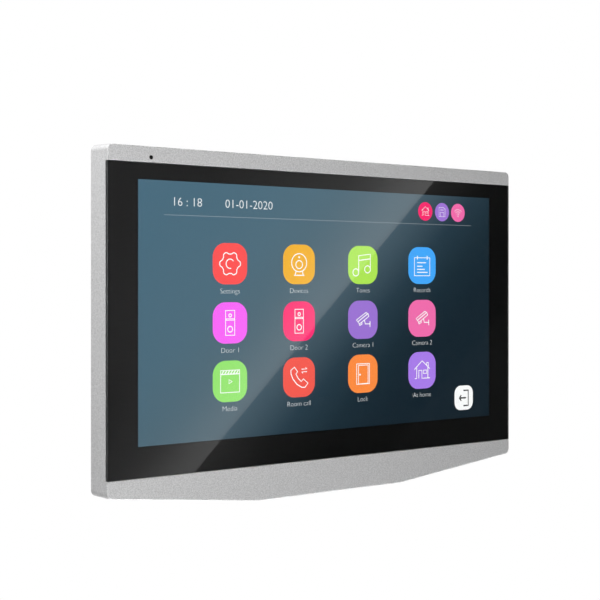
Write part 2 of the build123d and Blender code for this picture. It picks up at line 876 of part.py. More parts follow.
inductor_size = 7.0
inductor_height = 3.6
with BuildPart() as power_inductors:
    with BuildSketch(layer(pcb_back + inductor_height)):
        with Locations((power_part_x, -6.0), (power_part_x, -16.0)):
            RectangleRounded(inductor_size, inductor_size, 1)
    extrude(amount=inductor_height)
    chamfer(power_inductors.faces().group_by(Axis.Y)[-1].edges(), 0.4)
save(power_inductors, "power_inductors")

coin_cell_x = -81.0
coin_cell_z = -14.0
coin_cell_radius = 6.25
coin_cell_thickness = 2.0
holder_size = 16.0
holder_height = 3.2
holder_floor = 0.8
holder_gap = 0.1
with BuildPart() as coin_cell_holder:
    with BuildSketch(layer(pcb_back + holder_height)):
        with Locations((coin_cell_x, coin_cell_z)):
            RectangleRounded(holder_size, holder_size, 3)
    extrude(amount=holder_height)
    # well for the cell, open at the bottom for a fingertip
    with BuildSketch(layer(pcb_back + holder_height)):
        with Locations((coin_cell_x, coin_cell_z)):
            Circle(coin_cell_radius + holder_gap)
        with Locations((coin_cell_x, coin_cell_z - holder_size / 2)):
            Rectangle(5, 6)
    extrude(amount=holder_height - holder_floor, mode=Mode.SUBTRACT)
save(coin_cell_holder, "coin_cell_holder")

with BuildPart() as coin_cell:
    with BuildSketch(layer(pcb_back + holder_floor + coin_cell_thickness)):
        with Locations((coin_cell_x, coin_cell_z)):
            Circle(coin_cell_radius)
    extrude(amount=coin_cell_thickness)
    fillet(coin_cell.edges().filter_by(GeomType.CIRCLE).group_by(Axis.Y)[-1], 0.3)
save(coin_cell, "coin_cell")

# ---------------------------------------------------------------- Terminal bay headers
header_pins_per_row = [4, 4, 4, 4, 2]
header_widths = [(pins - 1) * pin_pitch + 2 * header_end for pins in header_pins_per_row]
row_width = sum(header_widths) + header_spacing * (len(header_widths) - 1)
header_centres = [
    -row_width / 2 + sum(header_widths[:i]) + i * header_spacing + header_widths[i] / 2
    for i in range(len(header_widths))
]


def header_pin_points(index):
    """The pin places of one header."""
    pins = header_pins_per_row[index]
    first = header_centres[index] - (pins - 1) * pin_pitch / 2
    return [(first + i * pin_pitch, header_z) for i in range(pins)]


def header_shell(indices):
    """Open-topped plastic shells of the given headers, with polarising slots."""
    with BuildPart() as shell:
        for index in indices:
            centre = header_centres[index]
            width = header_widths[index]
            with BuildSketch(layer(pcb_back + header_height)):
                with Locations((centre, header_z)):
                    Rectangle(width, header_depth)
            extrude(amount=header_height)
            with BuildSketch(layer(pcb_back + header_height)):
                with Locations((centre, header_z)):
                    Rectangle(width - 2 * header_wall, header_depth - 2 * header_wall)
                for side in (-1, 1):
                    slot_x = centre + side * (width / 2 - key_slot_inset)
                    with Locations((slot_x, header_z - header_depth / 2)):
                        Rectangle(key_slot_width, 2 * header_wall + 0.2)
            extrude(amount=header_height - header_floor, mode=Mode.SUBTRACT)
            with BuildSketch(layer(pcb_back + header_floor)):
                with Locations(*header_pin_points(index)):
                    Rectangle(pin_width + 2 * pin_gap, pin_width + 2 * pin_gap)
            extrude(amount=header_floor, mode=Mode.SUBTRACT)
    return shell


cable_headers = header_shell([0, 1, 2, 3])
save(cable_headers, "cable_headers")
power_header = header_shell([4])
save(power_header, "power_header")

with BuildPart() as header_pins:
    with BuildSketch(layer(pcb_back + header_floor + pin_rise)):
        for index in range(len(header_widths)):
            with Locations(*header_pin_points(index)):
                Rectangle(pin_width, pin_width)
    extrude(amount=header_floor + pin_rise)
save(header_pins, "header_pins")

# ---------------------------------------------------------------- Speaker, facing down in the chin
gasket_top = chin_floor + gasket_thickness
speaker_top = gasket_top + speaker_height
cavity_length = speaker_length - 2 * speaker_wall
cavity_width = speaker_width - 2 * speaker_wall
cone_length = cavity_length - 2 * surround_roll
cone_width = cavity_width - 2 * surround_side_roll

with BuildPart() as speaker_gasket:
    with BuildSketch(Plane.XY.offset(chin_floor)):
        with Locations((0, y_at(speaker_depth))):
            RectangleRounded(speaker_length, speaker_width, speaker_corner)
            RectangleRounded(cavity_length, cavity_width, cavity_corner, mode=Mode.SUBTRACT)
    extrude(amount=gasket_thickness)
save(speaker_gasket, "speaker_gasket")

with BuildPart() as speaker_basket:
    with BuildSketch(Plane.XY.offset(gasket_top)):
        with Locations((0, y_at(speaker_depth))):
            RectangleRounded(speaker_length, speaker_width, speaker_corner)
    extrude(amount=speaker_height)
    fillet(speaker_basket.faces().sort_by(Axis.Z)[-1].edges(), basket_round)
    with BuildSketch(Plane.XY.offset(gasket_top)):
        with Locations((0, y_at(speaker_depth))):
            RectangleRounded(cavity_length, cavity_width, cavity_corner)
    extrude(amount=speaker_height - speaker_wall, mode=Mode.SUBTRACT)
    with BuildSketch(layer(ear_depth + ear_thickness)):
        for side in (-1, 1):
            with Locations((side * (speaker_length + ear_length - ear_root) / 2, speaker_screw_z)):
                Rectangle(ear_length + ear_root, ear_width)
        with Locations(*speaker_screw_points):
            Circle(clearance_radius, mode=Mode.SUBTRACT)
    extrude(amount=ear_thickness)
save(speaker_basket, "speaker_basket")

with BuildPart() as speaker_magnet:
    with BuildSketch(Plane.XY.offset(speaker_top)):
        with Locations((0, y_at(speaker_depth))):
            RectangleRounded(magnet_length, magnet_width, magnet_corner)
    extrude(amount=magnet_height)
    chamfer(speaker_magnet.faces().sort_by(Axis.Z)[-1].edges(), 0.3)
save(speaker_magnet, "speaker_magnet")

with BuildPart() as speaker_surround:
    with BuildSketch(Plane.XY.offset(gasket_top)):
        with Locations((0, y_at(speaker_depth))):
            RectangleRounded(cavity_length, cavity_width, cavity_corner)
            opening = (cone_length + 2 * cone_gap, cone_width + 2 * cone_gap)
            RectangleRounded(*opening, cone_corner + cone_gap, mode=Mode.SUBTRACT)
    extrude(amount=surround_thickness)
save(speaker_surround, "speaker_surround")

with BuildPart() as speaker_cone:
    with BuildSketch(Plane.XY.offset(gasket_top)):
        with Locations((0, y_at(speaker_depth))):
            RectangleRounded(cone_length, cone_width, cone_corner)
    extrude(amount=surround_thickness)
    with BuildSketch(Plane.XY.offset(gasket_top)):
        with Locations((0, y_at(speaker_depth))):
            RectangleRounded(cone_length, cone_width, cone_corner)
            bore = (cone_length - 2 * cone_wall, cone_width - 2 * cone_wall)
            RectangleRounded(*bore, cone_corner - cone_wall, mode=Mode.SUBTRACT)
    extrude(amount=speaker_height - speaker_wall - 0.8)
save(speaker_cone, "speaker_cone")

speaker_screws = screws(
    speaker_screw_points, ear_depth + ear_thickness, ear_head_radius, ear_head_height, shank_radius,
    ear_screw_length,
)
save(speaker_screws, "speaker_screws")

# ---------------------------------------------------------------- Microphone
with BuildPart() as mic_boot:
    with BuildSketch(layer(shelf_back + mic_boot_height)):
        with Locations((mic_x, mic_z)):
            Circle(mic_boot_radius)
    extrude(amount=mic_boot_height)
    with BuildSketch(layer(shelf_back + mic_boot_height)):
        with Locations((mic_x, mic_z)):
            Circle(mic_capsule_radius)
    extrude(amount=mic_boot_height - mic_boot_lip, mode=Mode.SUBTRACT)
    with BuildSketch(layer(shelf_back + mic_boot_lip)):
        with Locations((mic_x, mic_z)):
            Circle(mic_hole_radius)
    extrude(amount=mic_boot_lip, mode=Mode.SUBTRACT)
save(mic_boot, "mic_boot")

mic_back = shelf_back + mic_boot_lip + mic_capsule_height
with BuildPart() as mic_capsule:
    with BuildSketch(layer(mic_back)):
        with Locations((mic_x, mic_z)):
            Circle(mic_capsule_radius)
    extrude(amount=mic_capsule_height)
    with BuildSketch(layer(shelf_back + mic_boot_lip + mic_port_depth)):
        with Locations((mic_x, mic_z)):
            Circle(mic_port_radius)
    extrude(amount=mic_port_depth, mode=Mode.SUBTRACT)
save(mic_capsule, "mic_capsule")

mic_plug = (-86.0, 8.0)
speaker_plug = (78.0, -32.0)
plug_mid = pcb_back + plug_height / 2
with BuildPart() as lead_plugs:
    with BuildSketch(layer(pcb_back + plug_height)):
        with Locations(mic_plug, speaker_plug):
            Rectangle(plug_width, plug_depth)
    extrude(amount=plug_height)
    chamfer(lead_plugs.faces().group_by(Axis.Y)[-1].edges(), plug_chamfer)
save(lead_plugs, "lead_plugs")

mic_lead = lead(
    [
        (mic_x, y_at(mic_back), mic_z),
        (mic_x, y_at(plug_mid), mic_z),
        (mic_x, y_at(plug_mid), mic_z - 16),
        (mic_x + 5, y_at(plug_mid), mic_z - 30),
        (mic_x + 5, y_at(plug_mid), mic_plug[1]),
        (mic_plug[0] - plug_width / 2, y_at(plug_mid), mic_plug[1]),
    ],
    [2.5, 8, 8, 4],
    lead_radius,
)
save(mic_lead, "mic_lead")

speaker_lead_z = speaker_top - 2.2
speaker_lead = lead(
    [
        (speaker_length / 2, y_at(plug_mid), speaker_lead_z),
        (speaker_length / 2 + 15, y_at(plug_mid), speaker_lead_z),
        (speaker_length / 2 + 30, y_at(plug_mid), speaker_lead_z + 17),
        (speaker_plug[0] - 12, y_at(plug_mid), speaker_lead_z + 21),
        (speaker_plug[0], y_at(plug_mid), speaker_lead_z + 31),
        (speaker_plug[0], y_at(plug_mid), speaker_plug[1] - plug_depth / 2),
    ],
    [7, 6, 6, 5],
    lead_radius,
)
save(speaker_lead, "speaker_lead")

# ---------------------------------------------------------------- Side board and its controls
with BuildPart() as side_board:
    with BuildSketch(layer(pcb_back)):
        with Locations((side_board_x, side_board_z)):
            RectangleRounded(side_board_width, side_board_height, side_board_corner)
        with Locations(*side_screw_points):
            Circle(board_hole_radius, mode=Mode.SUBTRACT)
    extrude(amount=pcb_thickness)
save(side_board, "side_board")

side_board_screws = screws(
    side_screw_points, pcb_back, board_head_radius, board_head_height, board_shank_radius,
    board_screw_length,
)
save(side_board_screws, "side_board_screws")

card_right = half_width - card_set_back
card_left = card_right - card_length
socket_left = card_left - card_push - card_gap - 2 * socket_wall
socket_inner_height = card_thickness + 2 * card_gap
with BuildPart() as card_socket:
    socket_height = socket_inner_height + 2 * socket_wall
    with BuildSketch(layer(pcb_back + socket_height)):
        with Locations(((socket_left + side_board_right) / 2, card_z)):
            Rectangle(side_board_right - socket_left, card_width + 2 * card_gap + 2 * socket_wall)
    extrude(amount=socket_height)
    with BuildSketch(layer(card_depth + socket_inner_height / 2)):
        with Locations(((socket_left + 2 * socket_wall + side_board_right + 1) / 2, card_z)):
            Rectangle(side_board_right + 1 - socket_left - 2 * socket_wall, card_width + 2 * card_gap)
    extrude(amount=socket_inner_height, mode=Mode.SUBTRACT)
save(card_socket, "card_socket")

with BuildPart() as memory_card:
    with BuildSketch(layer(card_depth + card_thickness / 2)):
        with BuildLine():
            Polyline(
                (card_right, card_z - card_width / 2),
                (card_right, card_z + card_width / 2),
                (card_left, card_z + card_width / 2),
                (card_left, card_z - card_width / 2 + card_step),
                (card_left + card_step_start, card_z - card_width / 2 + card_step),
                (card_left + card_step_start + card_step, card_z - card_width / 2),
                close=True,
            )
        make_face()
    extrude(amount=card_thickness)
    with BuildSketch(layer(card_depth + card_thickness / 2 + card_grip)):
        with Locations((card_right - 0.6, card_z)):
            Rectangle(0.7, card_width - 1.5)
    extrude(amount=card_grip + card_thickness / 2)
save(memory_card, "memory_card")

reset_body_right = side_board_right - reset_inset
with BuildPart() as reset_switch:
    with BuildSketch(layer(pcb_back + reset_body_height)):
        with Locations((reset_body_right - reset_body_length / 2, reset_z)):
            Rectangle(reset_body_length, reset_body_width)
    extrude(amount=reset_body_height)
    with BuildSketch(Plane.YZ.offset(reset_body_right)):
        with Locations((y_at(reset_depth), reset_z)):
            Circle(plunger_radius + plunger_gap)
    extrude(amount=-reset_well, mode=Mode.SUBTRACT)
save(reset_switch, "reset_switch")

with BuildPart() as reset_plunger:
    with BuildSketch(Plane.YZ.offset(reset_body_right + plunger_out - plunger_length)):
        with Locations((y_at(reset_depth), reset_z)):
            Circle(plunger_radius)
    extrude(amount=plunger_length)
    fillet(reset_plunger.edges().filter_by(GeomType.CIRCLE).sort_by(Axis.X)[-1], 0.2)
save(reset_plunger, "reset_plunger")

power_body_right = side_board_right - power_inset
with BuildPart() as power_switch:
    with BuildSketch(layer(pcb_back + power_body_height)):
        with Locations((power_body_right - power_body_length / 2, power_z + power_travel / 2)):
            Rectangle(power_body_length, power_body_width)
    extrude(amount=power_body_height)
    with BuildSketch(Plane.YZ.offset(power_body_right)):
        with Locations((y_at(power_depth), power_z + power_travel / 2)):
            Rectangle(knob_thickness + 2 * knob_gap, knob_length + power_travel + 2 * knob_gap)
    extrude(amount=-power_well, mode=Mode.SUBTRACT)
save(power_switch, "power_switch")

with BuildPart() as power_slider:
    with BuildSketch(Plane.YZ.offset(power_body_right - knob_root)):
        with Locations((y_at(power_depth), power_z)):
            Rectangle(knob_thickness, knob_length)
    extrude(amount=half_width - knob_set_back - power_body_right + knob_root)
    chamfer(power_slider.faces().sort_by(Axis.X)[-1].edges(), 0.2)
save(power_slider, "power_slider")

# ---------------------------------------------------------------- Ribbon connectors and side cable
side_cable_end = side_board_x - side_board_width / 2 + 1.2
main_connector_x = board_x + board_width / 2 - connector_inset
with BuildPart() as flex_connectors:
    with BuildSketch(layer(pcb_back + connector_height)):
        with Locations((touch_ribbon_x, board_top - connector_inset - connector_depth / 2)):
            Rectangle(touch_ribbon_width + 2 * connector_side, connector_depth)
        with Locations((lcd_ribbon_x, board_bottom + connector_inset + connector_depth / 2)):
            Rectangle(lcd_ribbon_width + 2 * connector_side, connector_depth)
        with Locations((main_connector_x - connector_depth / 2, side_ribbon_z)):
            Rectangle(connector_depth, side_ribbon_width + 2 * connector_side)
        with Locations((side_cable_end + connector_depth / 2, side_ribbon_z)):
            Rectangle(connector_depth, side_ribbon_width + 2 * connector_side)
    extrude(amount=connector_height)
save(flex_connectors, "flex_connectors")

cable_rise = 2.0
with BuildPart() as side_board_cable:
    with BuildSketch(Plane.XY.offset(side_ribbon_z)):
        add(
            ribbon(
                [
                    (main_connector_x, y_at(ribbon_depth)),
                    (main_connector_x + 3, y_at(ribbon_depth)),
                    (main_connector_x + 6, y_at(ribbon_depth + cable_rise)),
                    (side_cable_end - 6, y_at(ribbon_depth + cable_rise)),
                    (side_cable_end - 3, y_at(ribbon_depth)),
                    (side_cable_end, y_at(ribbon_depth)),
                ],
                [2, 2, 2, 2],
            )
        )
    extrude(amount=side_ribbon_width / 2, both=True)
save(side_board_cable, "side_board_cable")

# ---------------------------------------------------------------- Rear cover
hook_slot_mid = [
    z + hook_neck + hang_gap - hook_slot_height / 2 for z in (lower_hook_z, upper_hook_z)
]
with BuildPart() as rear_cover:
    with BuildSketch(layer(body_depth)):
        add(cover_outline)
    extrude(amount=cover_thickness)
    # box of the bracket recess, standing inwards
    with BuildSketch(layer(cover_front)):
        with Locations((0, (recess_top + recess_bottom) / 2)):
            box_height = recess_top - recess_bottom + 2 * cover_thickness
            Rectangle(recess_width + 2 * cover_thickness, box_height)
    extrude(amount=cover_front - recess_front)
    with BuildSketch(layer(body_depth)):
        with Locations((0, (recess_top + recess_bottom) / 2)):
            RectangleRounded(recess_width, recess_top - recess_bottom, recess_corner)
    extrude(amount=recess_depth, mode=Mode.SUBTRACT)
    # hook slots and terminal bay in the recess floor
    with BuildSketch(layer(recess_floor)):
        for slot_x in (-hook_x, hook_x):
            for slot_z in hook_slot_mid:
                with Locations((slot_x, slot_z)):
                    Rectangle(bracket_thickness + 2 * hook_side_gap, hook_slot_height)
        with Locations((0, header_z)):
            RectangleRounded(row_width + 2 * bay_gap, header_depth + 2 * bay_gap, bay_corner)
    extrude(amount=cover_thickness, mode=Mode.SUBTRACT)
    # screw posts
    with BuildSketch(layer(cover_front)):
        with Locations(*case_screw_points):
            Circle(post_radius)
    extrude(amount=post_height)
    with BuildSketch(layer(body_depth)):
        with Locations(*case_screw_points):
            Circle(counterbore_radius)
    extrude(amount=cover_thickness, mode=Mode.SUBTRACT)
    with BuildSketch(layer(cover_front)):
        with Locations(*case_screw_points):
            Circle(clearance_radius)
    extrude(amount=post_height, mode=Mode.SUBTRACT)
    # ventilation slots beside the recess
    vent_x = (recess_width / 2 + cover_thickness + boss_x - boss_radius) / 2
    with BuildSketch(layer(body_depth)):
        for side in (-1, 1):
            with Locations((side * vent_x, 0)):
                with GridLocations(1, vent_pitch, 1, vent_count):
                    SlotOverall(vent_length, vent_width)
    extrude(amount=cover_thickness, mode=Mode.SUBTRACT)
save(rear_cover, "rear_cover")

case_screws = screws(
    case_screw_points, cover_front, case_head_radius, case_head_height, shank_radius, case_screw_length
)
save(case_screws, "case_screws")

blank_label = slab(
    body_depth + label_thickness, label_thickness, label_width, label_height, 0,
    recess_bottom - label_drop,
)
save(blank_label, "blank_label")
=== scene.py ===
"""Looks of a wall-hung video intercom monitor: silver frame, full-width glass and a lit home screen."""

import logging
import math
from collections.abc import Callable, Sequence
from dataclasses import dataclass, field
from enum import Enum
from typing import Any

import bpy
from mathutils import Matrix, Vector

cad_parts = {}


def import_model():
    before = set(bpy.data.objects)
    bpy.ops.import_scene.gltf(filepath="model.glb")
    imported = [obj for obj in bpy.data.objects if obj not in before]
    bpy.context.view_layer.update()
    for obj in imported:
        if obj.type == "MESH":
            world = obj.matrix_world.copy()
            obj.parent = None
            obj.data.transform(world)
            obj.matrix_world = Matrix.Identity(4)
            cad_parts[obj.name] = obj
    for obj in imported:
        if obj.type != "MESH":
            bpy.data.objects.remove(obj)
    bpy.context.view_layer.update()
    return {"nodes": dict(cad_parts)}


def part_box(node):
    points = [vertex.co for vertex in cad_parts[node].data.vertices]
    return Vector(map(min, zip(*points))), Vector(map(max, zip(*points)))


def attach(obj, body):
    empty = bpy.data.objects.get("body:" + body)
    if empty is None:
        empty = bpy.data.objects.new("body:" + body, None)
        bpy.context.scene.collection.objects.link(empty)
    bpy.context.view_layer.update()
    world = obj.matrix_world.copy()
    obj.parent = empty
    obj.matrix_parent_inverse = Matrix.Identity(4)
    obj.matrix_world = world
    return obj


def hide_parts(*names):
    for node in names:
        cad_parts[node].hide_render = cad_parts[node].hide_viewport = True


LOG = logging.getLogger("intercom_monitor")
MM = 0.001
RGBA = tuple[float, float, float, float]
Point2 = tuple[float, float]
DOT_PITCH = 0.25 * MM      # of the panel's light grain
UPRIGHT = (math.pi / 2, 0.0, 0.0)
EVEN = (1.0, 1.0, 1.0)      # a metal without drawn lines


def shade(red: float, green: float, blue: float) -> RGBA:
    """Turn a display colour of 0 to 255 per channel into linear light.

    Args:
        red, green, blue: the channels as a screen shows them.

    Returns:
        The colour with an alpha of 1.
    """
    shown = [channel / 255 for channel in (red, green, blue)]
    return tuple(c / 12.92 if c <= 0.04045 else ((c + 0.055) / 1.055) ** 2.4 for c in shown) + (1.0,)


def grey(value: float) -> RGBA:
    """A neutral linear colour."""
    return (value, value, value, 1.0)


def scaled(colour: RGBA, factor: float) -> RGBA:
    """A colour made darker or brighter by a factor, up to white."""
    return tuple(min(1.0, channel * factor) for channel in colour[:3]) + (1.0,)


# -------- shader expressions


class Wire:
    """A node's output socket, on which Python's operators add Math nodes."""

    def __init__(self, graph: "Graph", socket: bpy.types.NodeSocket) -> None:
        """Wrap one socket of a graph."""
        self.graph = graph
        self.socket = socket

    def maths(self, operation: str, first: "Wire | float", second: "Wire | float") -> "Wire":
        """Add one Math node.

        Args:
            operation: the node's operation.
            first, second: its two values.

        Returns:
            The node's value.
        """
        return self.graph.node("ShaderNodeMath", {"operation": operation}, {0: first, 1: second})

    def __add__(self, other: "Wire | float") -> "Wire":
        """self + other."""
        return self.maths("ADD", self, other)

    __radd__ = __add__

    def __sub__(self, other: "Wire | float") -> "Wire":
        """self - other."""
        return self.maths("SUBTRACT", self, other)

    def __rsub__(self, other: "Wire | float") -> "Wire":
        """other - self."""
        return self.maths("SUBTRACT", other, self)

    def __mul__(self, other: "Wire | float") -> "Wire":
        """self * other."""
        return self.maths("MULTIPLY", self, other)

    __rmul__ = __mul__

    def __truediv__(self, other: "Wire | float") -> "Wire":
        """self / other."""
        return self.maths("DIVIDE", self, other)

    def __gt__(self, other: "Wire | float") -> "Wire":
        """1 where self is above other, else 0."""
        return self.maths("GREATER_THAN", self, other)

    def __mod__(self, other: "Wire | float") -> "Wire":
        """self modulo other, never negative."""
        return self.maths("FLOORED_MODULO", self, other)


class Graph:
    """A node tree under construction, for a material or the world."""

    def __init__(self, owner: bpy.types.Material | bpy.types.World) -> None:
        """Start an empty tree on its owner."""
        owner.use_nodes = True
        self.owner = owner
        self.tree = owner.node_tree
        self.tree.nodes.clear()

    def node(
        self,
        kind: str,
        settings: dict[str, Any] | None = None,
        inputs: dict[str | int, Any] | None = None,
        output: str | int = 0,
    ) -> Wire:
        """Add any node: its settings first, then the values or links of its sockets.

        Args:
            kind: the node's type name.
            settings: its properties; "stops" holds a ramp's (position, colour) pairs.
            inputs: a number, a colour or a Wire for each socket, by name or index.
            output: the socket to return.

        Returns:
            The chosen output.
        """
        made = self.tree.nodes.new(kind)
        for key, value in (settings or {}).items():
            if key == "stops":
                self._set_stops(made.color_ramp, value)
            else:
                setattr(made, key, value)
        for key, value in (inputs or {}).items():
            if isinstance(value, Wire):
                self.tree.links.new(value.socket, made.inputs[key])
            else:
                made.inputs[key].default_value = value
        return Wire(self, made.outputs[output])

    @staticmethod
    def _set_stops(ramp: bpy.types.ColorRamp, stops: Sequence[tuple[float, RGBA]]) -> None:
        """Give a colour ramp exactly these stops, in rising order."""
        while len(ramp.elements) > 1:
            ramp.elements.remove(ramp.elements[-1])
        ramp.elements[0].position, ramp.elements[0].color = stops[0]
        for position, colour in stops[1:]:
            ramp.elements.new(position).color = colour

    def place(self) -> Wire:
        """The point's place in the object's own frame, in metres."""
        return self.node("ShaderNodeTexCoord", output="Object")

    def axis(self, vector: Wire, name: str) -> Wire:
        """One component, X, Y or Z, of a vector."""
        return self.node("ShaderNodeSeparateXYZ", inputs={0: vector}, output=name)

    def noise(self, size: float, detail: float = 2.0) -> Wire:
        """Soft random blotches, 0 to 1.

        Args:
            size: a blotch's size in metres.
            detail: finer layers added to it.

        Returns:
            The noise value.
        """
        inputs = {"Vector": self.place(), "Scale": 1 / size, "Detail": detail}
        return self.node("ShaderNodeTexNoise", inputs=inputs)

    def blend(self, factor: "Wire | float", low: "Wire | RGBA", high: "Wire | RGBA") -> Wire:
        """Mix two colours; factor 0 gives low."""
        settings = {"data_type": "RGBA"}
        return self.node("ShaderNodeMix", settings, {"Factor": factor, 6: low, 7: high}, output=2)

    def stretch(self, value: Wire, low: float, high: float) -> Wire:
        """Map low..high of a value to 0..1 and clamp it there."""
        return self.node("ShaderNodeMapRange", inputs={"Value": value, "From Min": low, "From Max": high})

    def bump(self, height: Wire, distance: float, strength: float = 1.0) -> Wire:
        """A normal bent by a height.

        Args:
            height: the height, 0 to 1.
            distance: what a height of 1 is, in metres.
            strength: how much of it shows.

        Returns:
            The bent normal.
        """
        inputs = {"Height": height, "Distance": distance, "Strength": strength}
        return self.node("ShaderNodeBump", inputs=inputs)

    def surface(self, **sockets: Any) -> None:
        """End the tree in a Principled surface; base_color sets Base Color, and so on."""
        names = [key.replace("_", " ").title().replace("Ior", "IOR") for key in sockets]
        self.node_output(self.node("ShaderNodeBsdfPrincipled", inputs=dict(zip(names, sockets.values()))))

    def shine(self, colour: Wire, gain: float) -> None:
        """End the tree in the panel's dark surface, which gives off a colour."""
        self.surface(base_color=grey(0.004), roughness=0.35, emission_color=colour, emission_strength=gain)

    def node_output(self, shader: Wire) -> None:
        """Link a shader to the tree's output."""
        kind = "World" if isinstance(self.owner, bpy.types.World) else "Material"
        made = self.tree.nodes.new("ShaderNodeOutput" + kind)
        self.tree.links.new(shader.socket, made.inputs["Surface"])


# -------- finishes


@dataclass(frozen=True)
class Finish:
    """What every finish has: a name and one material, made on first use."""

    name: str

    def material(self) -> bpy.types.Material:
        """The finish's material."""
        found = bpy.data.materials.get(self.name)
        if found:
            return found
        made = bpy.data.materials.new(self.name)
        self.paint(Graph(made))
        return made

    def paint(self, graph: Graph) -> None:
        """Build the finish's nodes."""
        raise NotImplementedError


@dataclass(frozen=True)
class MetallicPaint(Finish):
    """Silver paint with fine bright and dark flakes over a faint orange peel."""

    dark: RGBA = (0.49, 0.49, 0.493, 1.0)
    bright: RGBA = (0.74, 0.74, 0.745, 1.0)
    flake: float = 0.6 * MM
    peel: float = 2.5 * MM
    relief: float = 0.012 * MM
    metallic: float = 0.15
    roughness: float = 0.5

    def paint(self, graph: Graph) -> None:
        """Blend two silvers by the flakes, which also tilt the surface a little."""
        flakes = graph.stretch(graph.noise(self.flake, 3.0), 0.3, 0.7)
        peel = graph.noise(self.peel, 1.0)
        graph.surface(
            base_color=graph.blend(flakes, self.dark, self.bright),
            metallic=self.metallic,
            roughness=flakes * -0.08 + (self.roughness + 0.04),
            normal=graph.bump(flakes * 0.6 + peel, self.relief, 0.6),
        )


@dataclass(frozen=True)
class Moulded(Finish):
    """Moulded plastic or rubber with a spark-eroded grain."""

    colour: RGBA = grey(0.02)
    grain: float = 0.35 * MM
    depth: float = 0.02 * MM
    roughness: float = 0.5
    spread: float = 0.12

    def paint(self, graph: Graph) -> None:
        """Vary tone and gloss with the grain and with larger, fainter clouds."""
        grain = graph.noise(self.grain, 3.0)
        clouds = graph.noise(14 * MM)
        low, high = scaled(self.colour, 1 - self.spread), scaled(self.colour, 1 + self.spread)
        graph.surface(
            base_color=graph.blend(clouds * 0.4 + grain * 0.6, low, high),
            roughness=grain * 0.16 + (self.roughness - 0.08),
            normal=graph.bump(grain, self.depth, 0.7),
        )


@dataclass(frozen=True)
class Metal(Finish):
    """Sheet, turned or plated metal with fine drawn lines and soft stains."""

    colour: RGBA = grey(0.6)
    roughness: float = 0.32
    lines: float = 0.2 * MM
    draw: tuple[float, float, float] = (0.04, 1.0, 1.0)
    stain: float = 0.12

    def paint(self, graph: Graph) -> None:
        """Stretch a noise along one axis for the lines and cloud the plating."""
        stretched = graph.node("ShaderNodeMapping", inputs={"Vector": graph.place(), "Scale": self.draw})
        inputs = {"Vector": stretched, "Scale": 1 / self.lines, "Detail": 2.0}
        drawn = graph.node("ShaderNodeTexNoise", inputs=inputs)
        clouds = graph.noise(9 * MM, 3.0)
        tone = graph.blend(clouds * 0.6 + drawn * 0.4, scaled(self.colour, 1 - self.stain), self.colour)
        graph.surface(
            base_color=tone,
            metallic=1.0,
            roughness=drawn * 0.18 + clouds * 0.1 + (self.roughness - 0.1),
            normal=graph.bump(drawn, 0.006 * MM, 0.5),
        )


@dataclass(frozen=True)
class ClearGlass(Finish):
    """Clear, polished glass or acrylic."""

    tint: RGBA = (0.975, 0.99, 0.985, 1.0)
    roughness: float = 0.0
    ior: float = 1.5

    def paint(self, graph: Graph) -> None:
        """Let light through, with soft clouds of handling haze in the polish."""
        clouds = graph.noise(30 * MM)
        graph.surface(
            base_color=graph.blend(clouds, self.tint, scaled(self.tint, 1.01)),
            roughness=clouds * 0.012 + self.roughness,
            ior=self.ior,
            transmission_weight=1.0,
        )


@dataclass(frozen=True)
class BackPrintAndShade(Finish):
    """Black ceramic print on the back of the glass, with its fine screen-print mesh; its black also paints
    the shade in the microphone's hole.
    """

    def paint(self, graph: Graph) -> None:
        """Barely lighter mesh points in a black coat."""
        mesh = graph.noise(0.12 * MM, 1.0)
        graph.surface(
            base_color=graph.blend(mesh, grey(0.0015), grey(0.004)),
            roughness=mesh * 0.1 + 0.5,
            specular_ior_level=0.2,
        )


@dataclass(frozen=True)
class PaleFloor(Finish):
    """A pale, evenly lit studio floor."""

    glow: float = 0.55

    def paint(self, graph: Graph) -> None:
        """Faint clouds over an even glow."""
        clouds = graph.noise(60 * MM, 3.0)
        tone = graph.blend(clouds, grey(0.78), grey(0.84))
        graph.surface(base_color=tone, roughness=0.7, emission_color=tone, emission_strength=self.glow)


@dataclass(frozen=True)
class BlackEdge(Finish):
    """Near-black finish on the ground edges of the glass, in place of clear glass."""

    def paint(self, graph: Graph) -> None:
        """Grinding streaks under a thin gloss."""
        streaks = graph.noise(0.3 * MM)
        graph.surface(
            base_color=graph.blend(streaks, grey(0.004), grey(0.014)),
            roughness=streaks * 0.2 + 0.3,
            normal=graph.bump(streaks, 0.01 * MM, 0.5),
        )


@dataclass(frozen=True)
class CircuitBoard(Finish):
    """Solder mask over copper tracks, with lighter pads between them."""

    mask: RGBA = (0.006, 0.075, 0.03, 1.0)
    track: RGBA = (0.012, 0.13, 0.05, 1.0)
    pitch: float = 1.3 * MM

    def paint(self, graph: Graph) -> None:
        """Draw the tracks as mortar of a brick pattern and roughen them with noise."""
        turned = graph.node(
            "ShaderNodeMapping", inputs={"Vector": graph.place(), "Rotation": UPRIGHT}
        )
        settings = {"offset": 0.35, "squash": 0.6, "squash_frequency": 3}
        inputs = {"Vector": turned, "Scale": 1 / self.pitch, "Mortar Size": 0.12, "Brick Width": 3.0}
        mortar = graph.node("ShaderNodeTexBrick", settings, inputs, output="Fac")
        haze = graph.noise(4 * MM)
        graph.surface(
            base_color=graph.blend(mortar * 0.7 + haze * 0.3, self.mask, self.track),
            roughness=haze * 0.12 + 0.26,
            coat_weight=haze * 0.2 + 0.3,
            normal=graph.bump(mortar, 0.03 * MM, 0.5),
        )


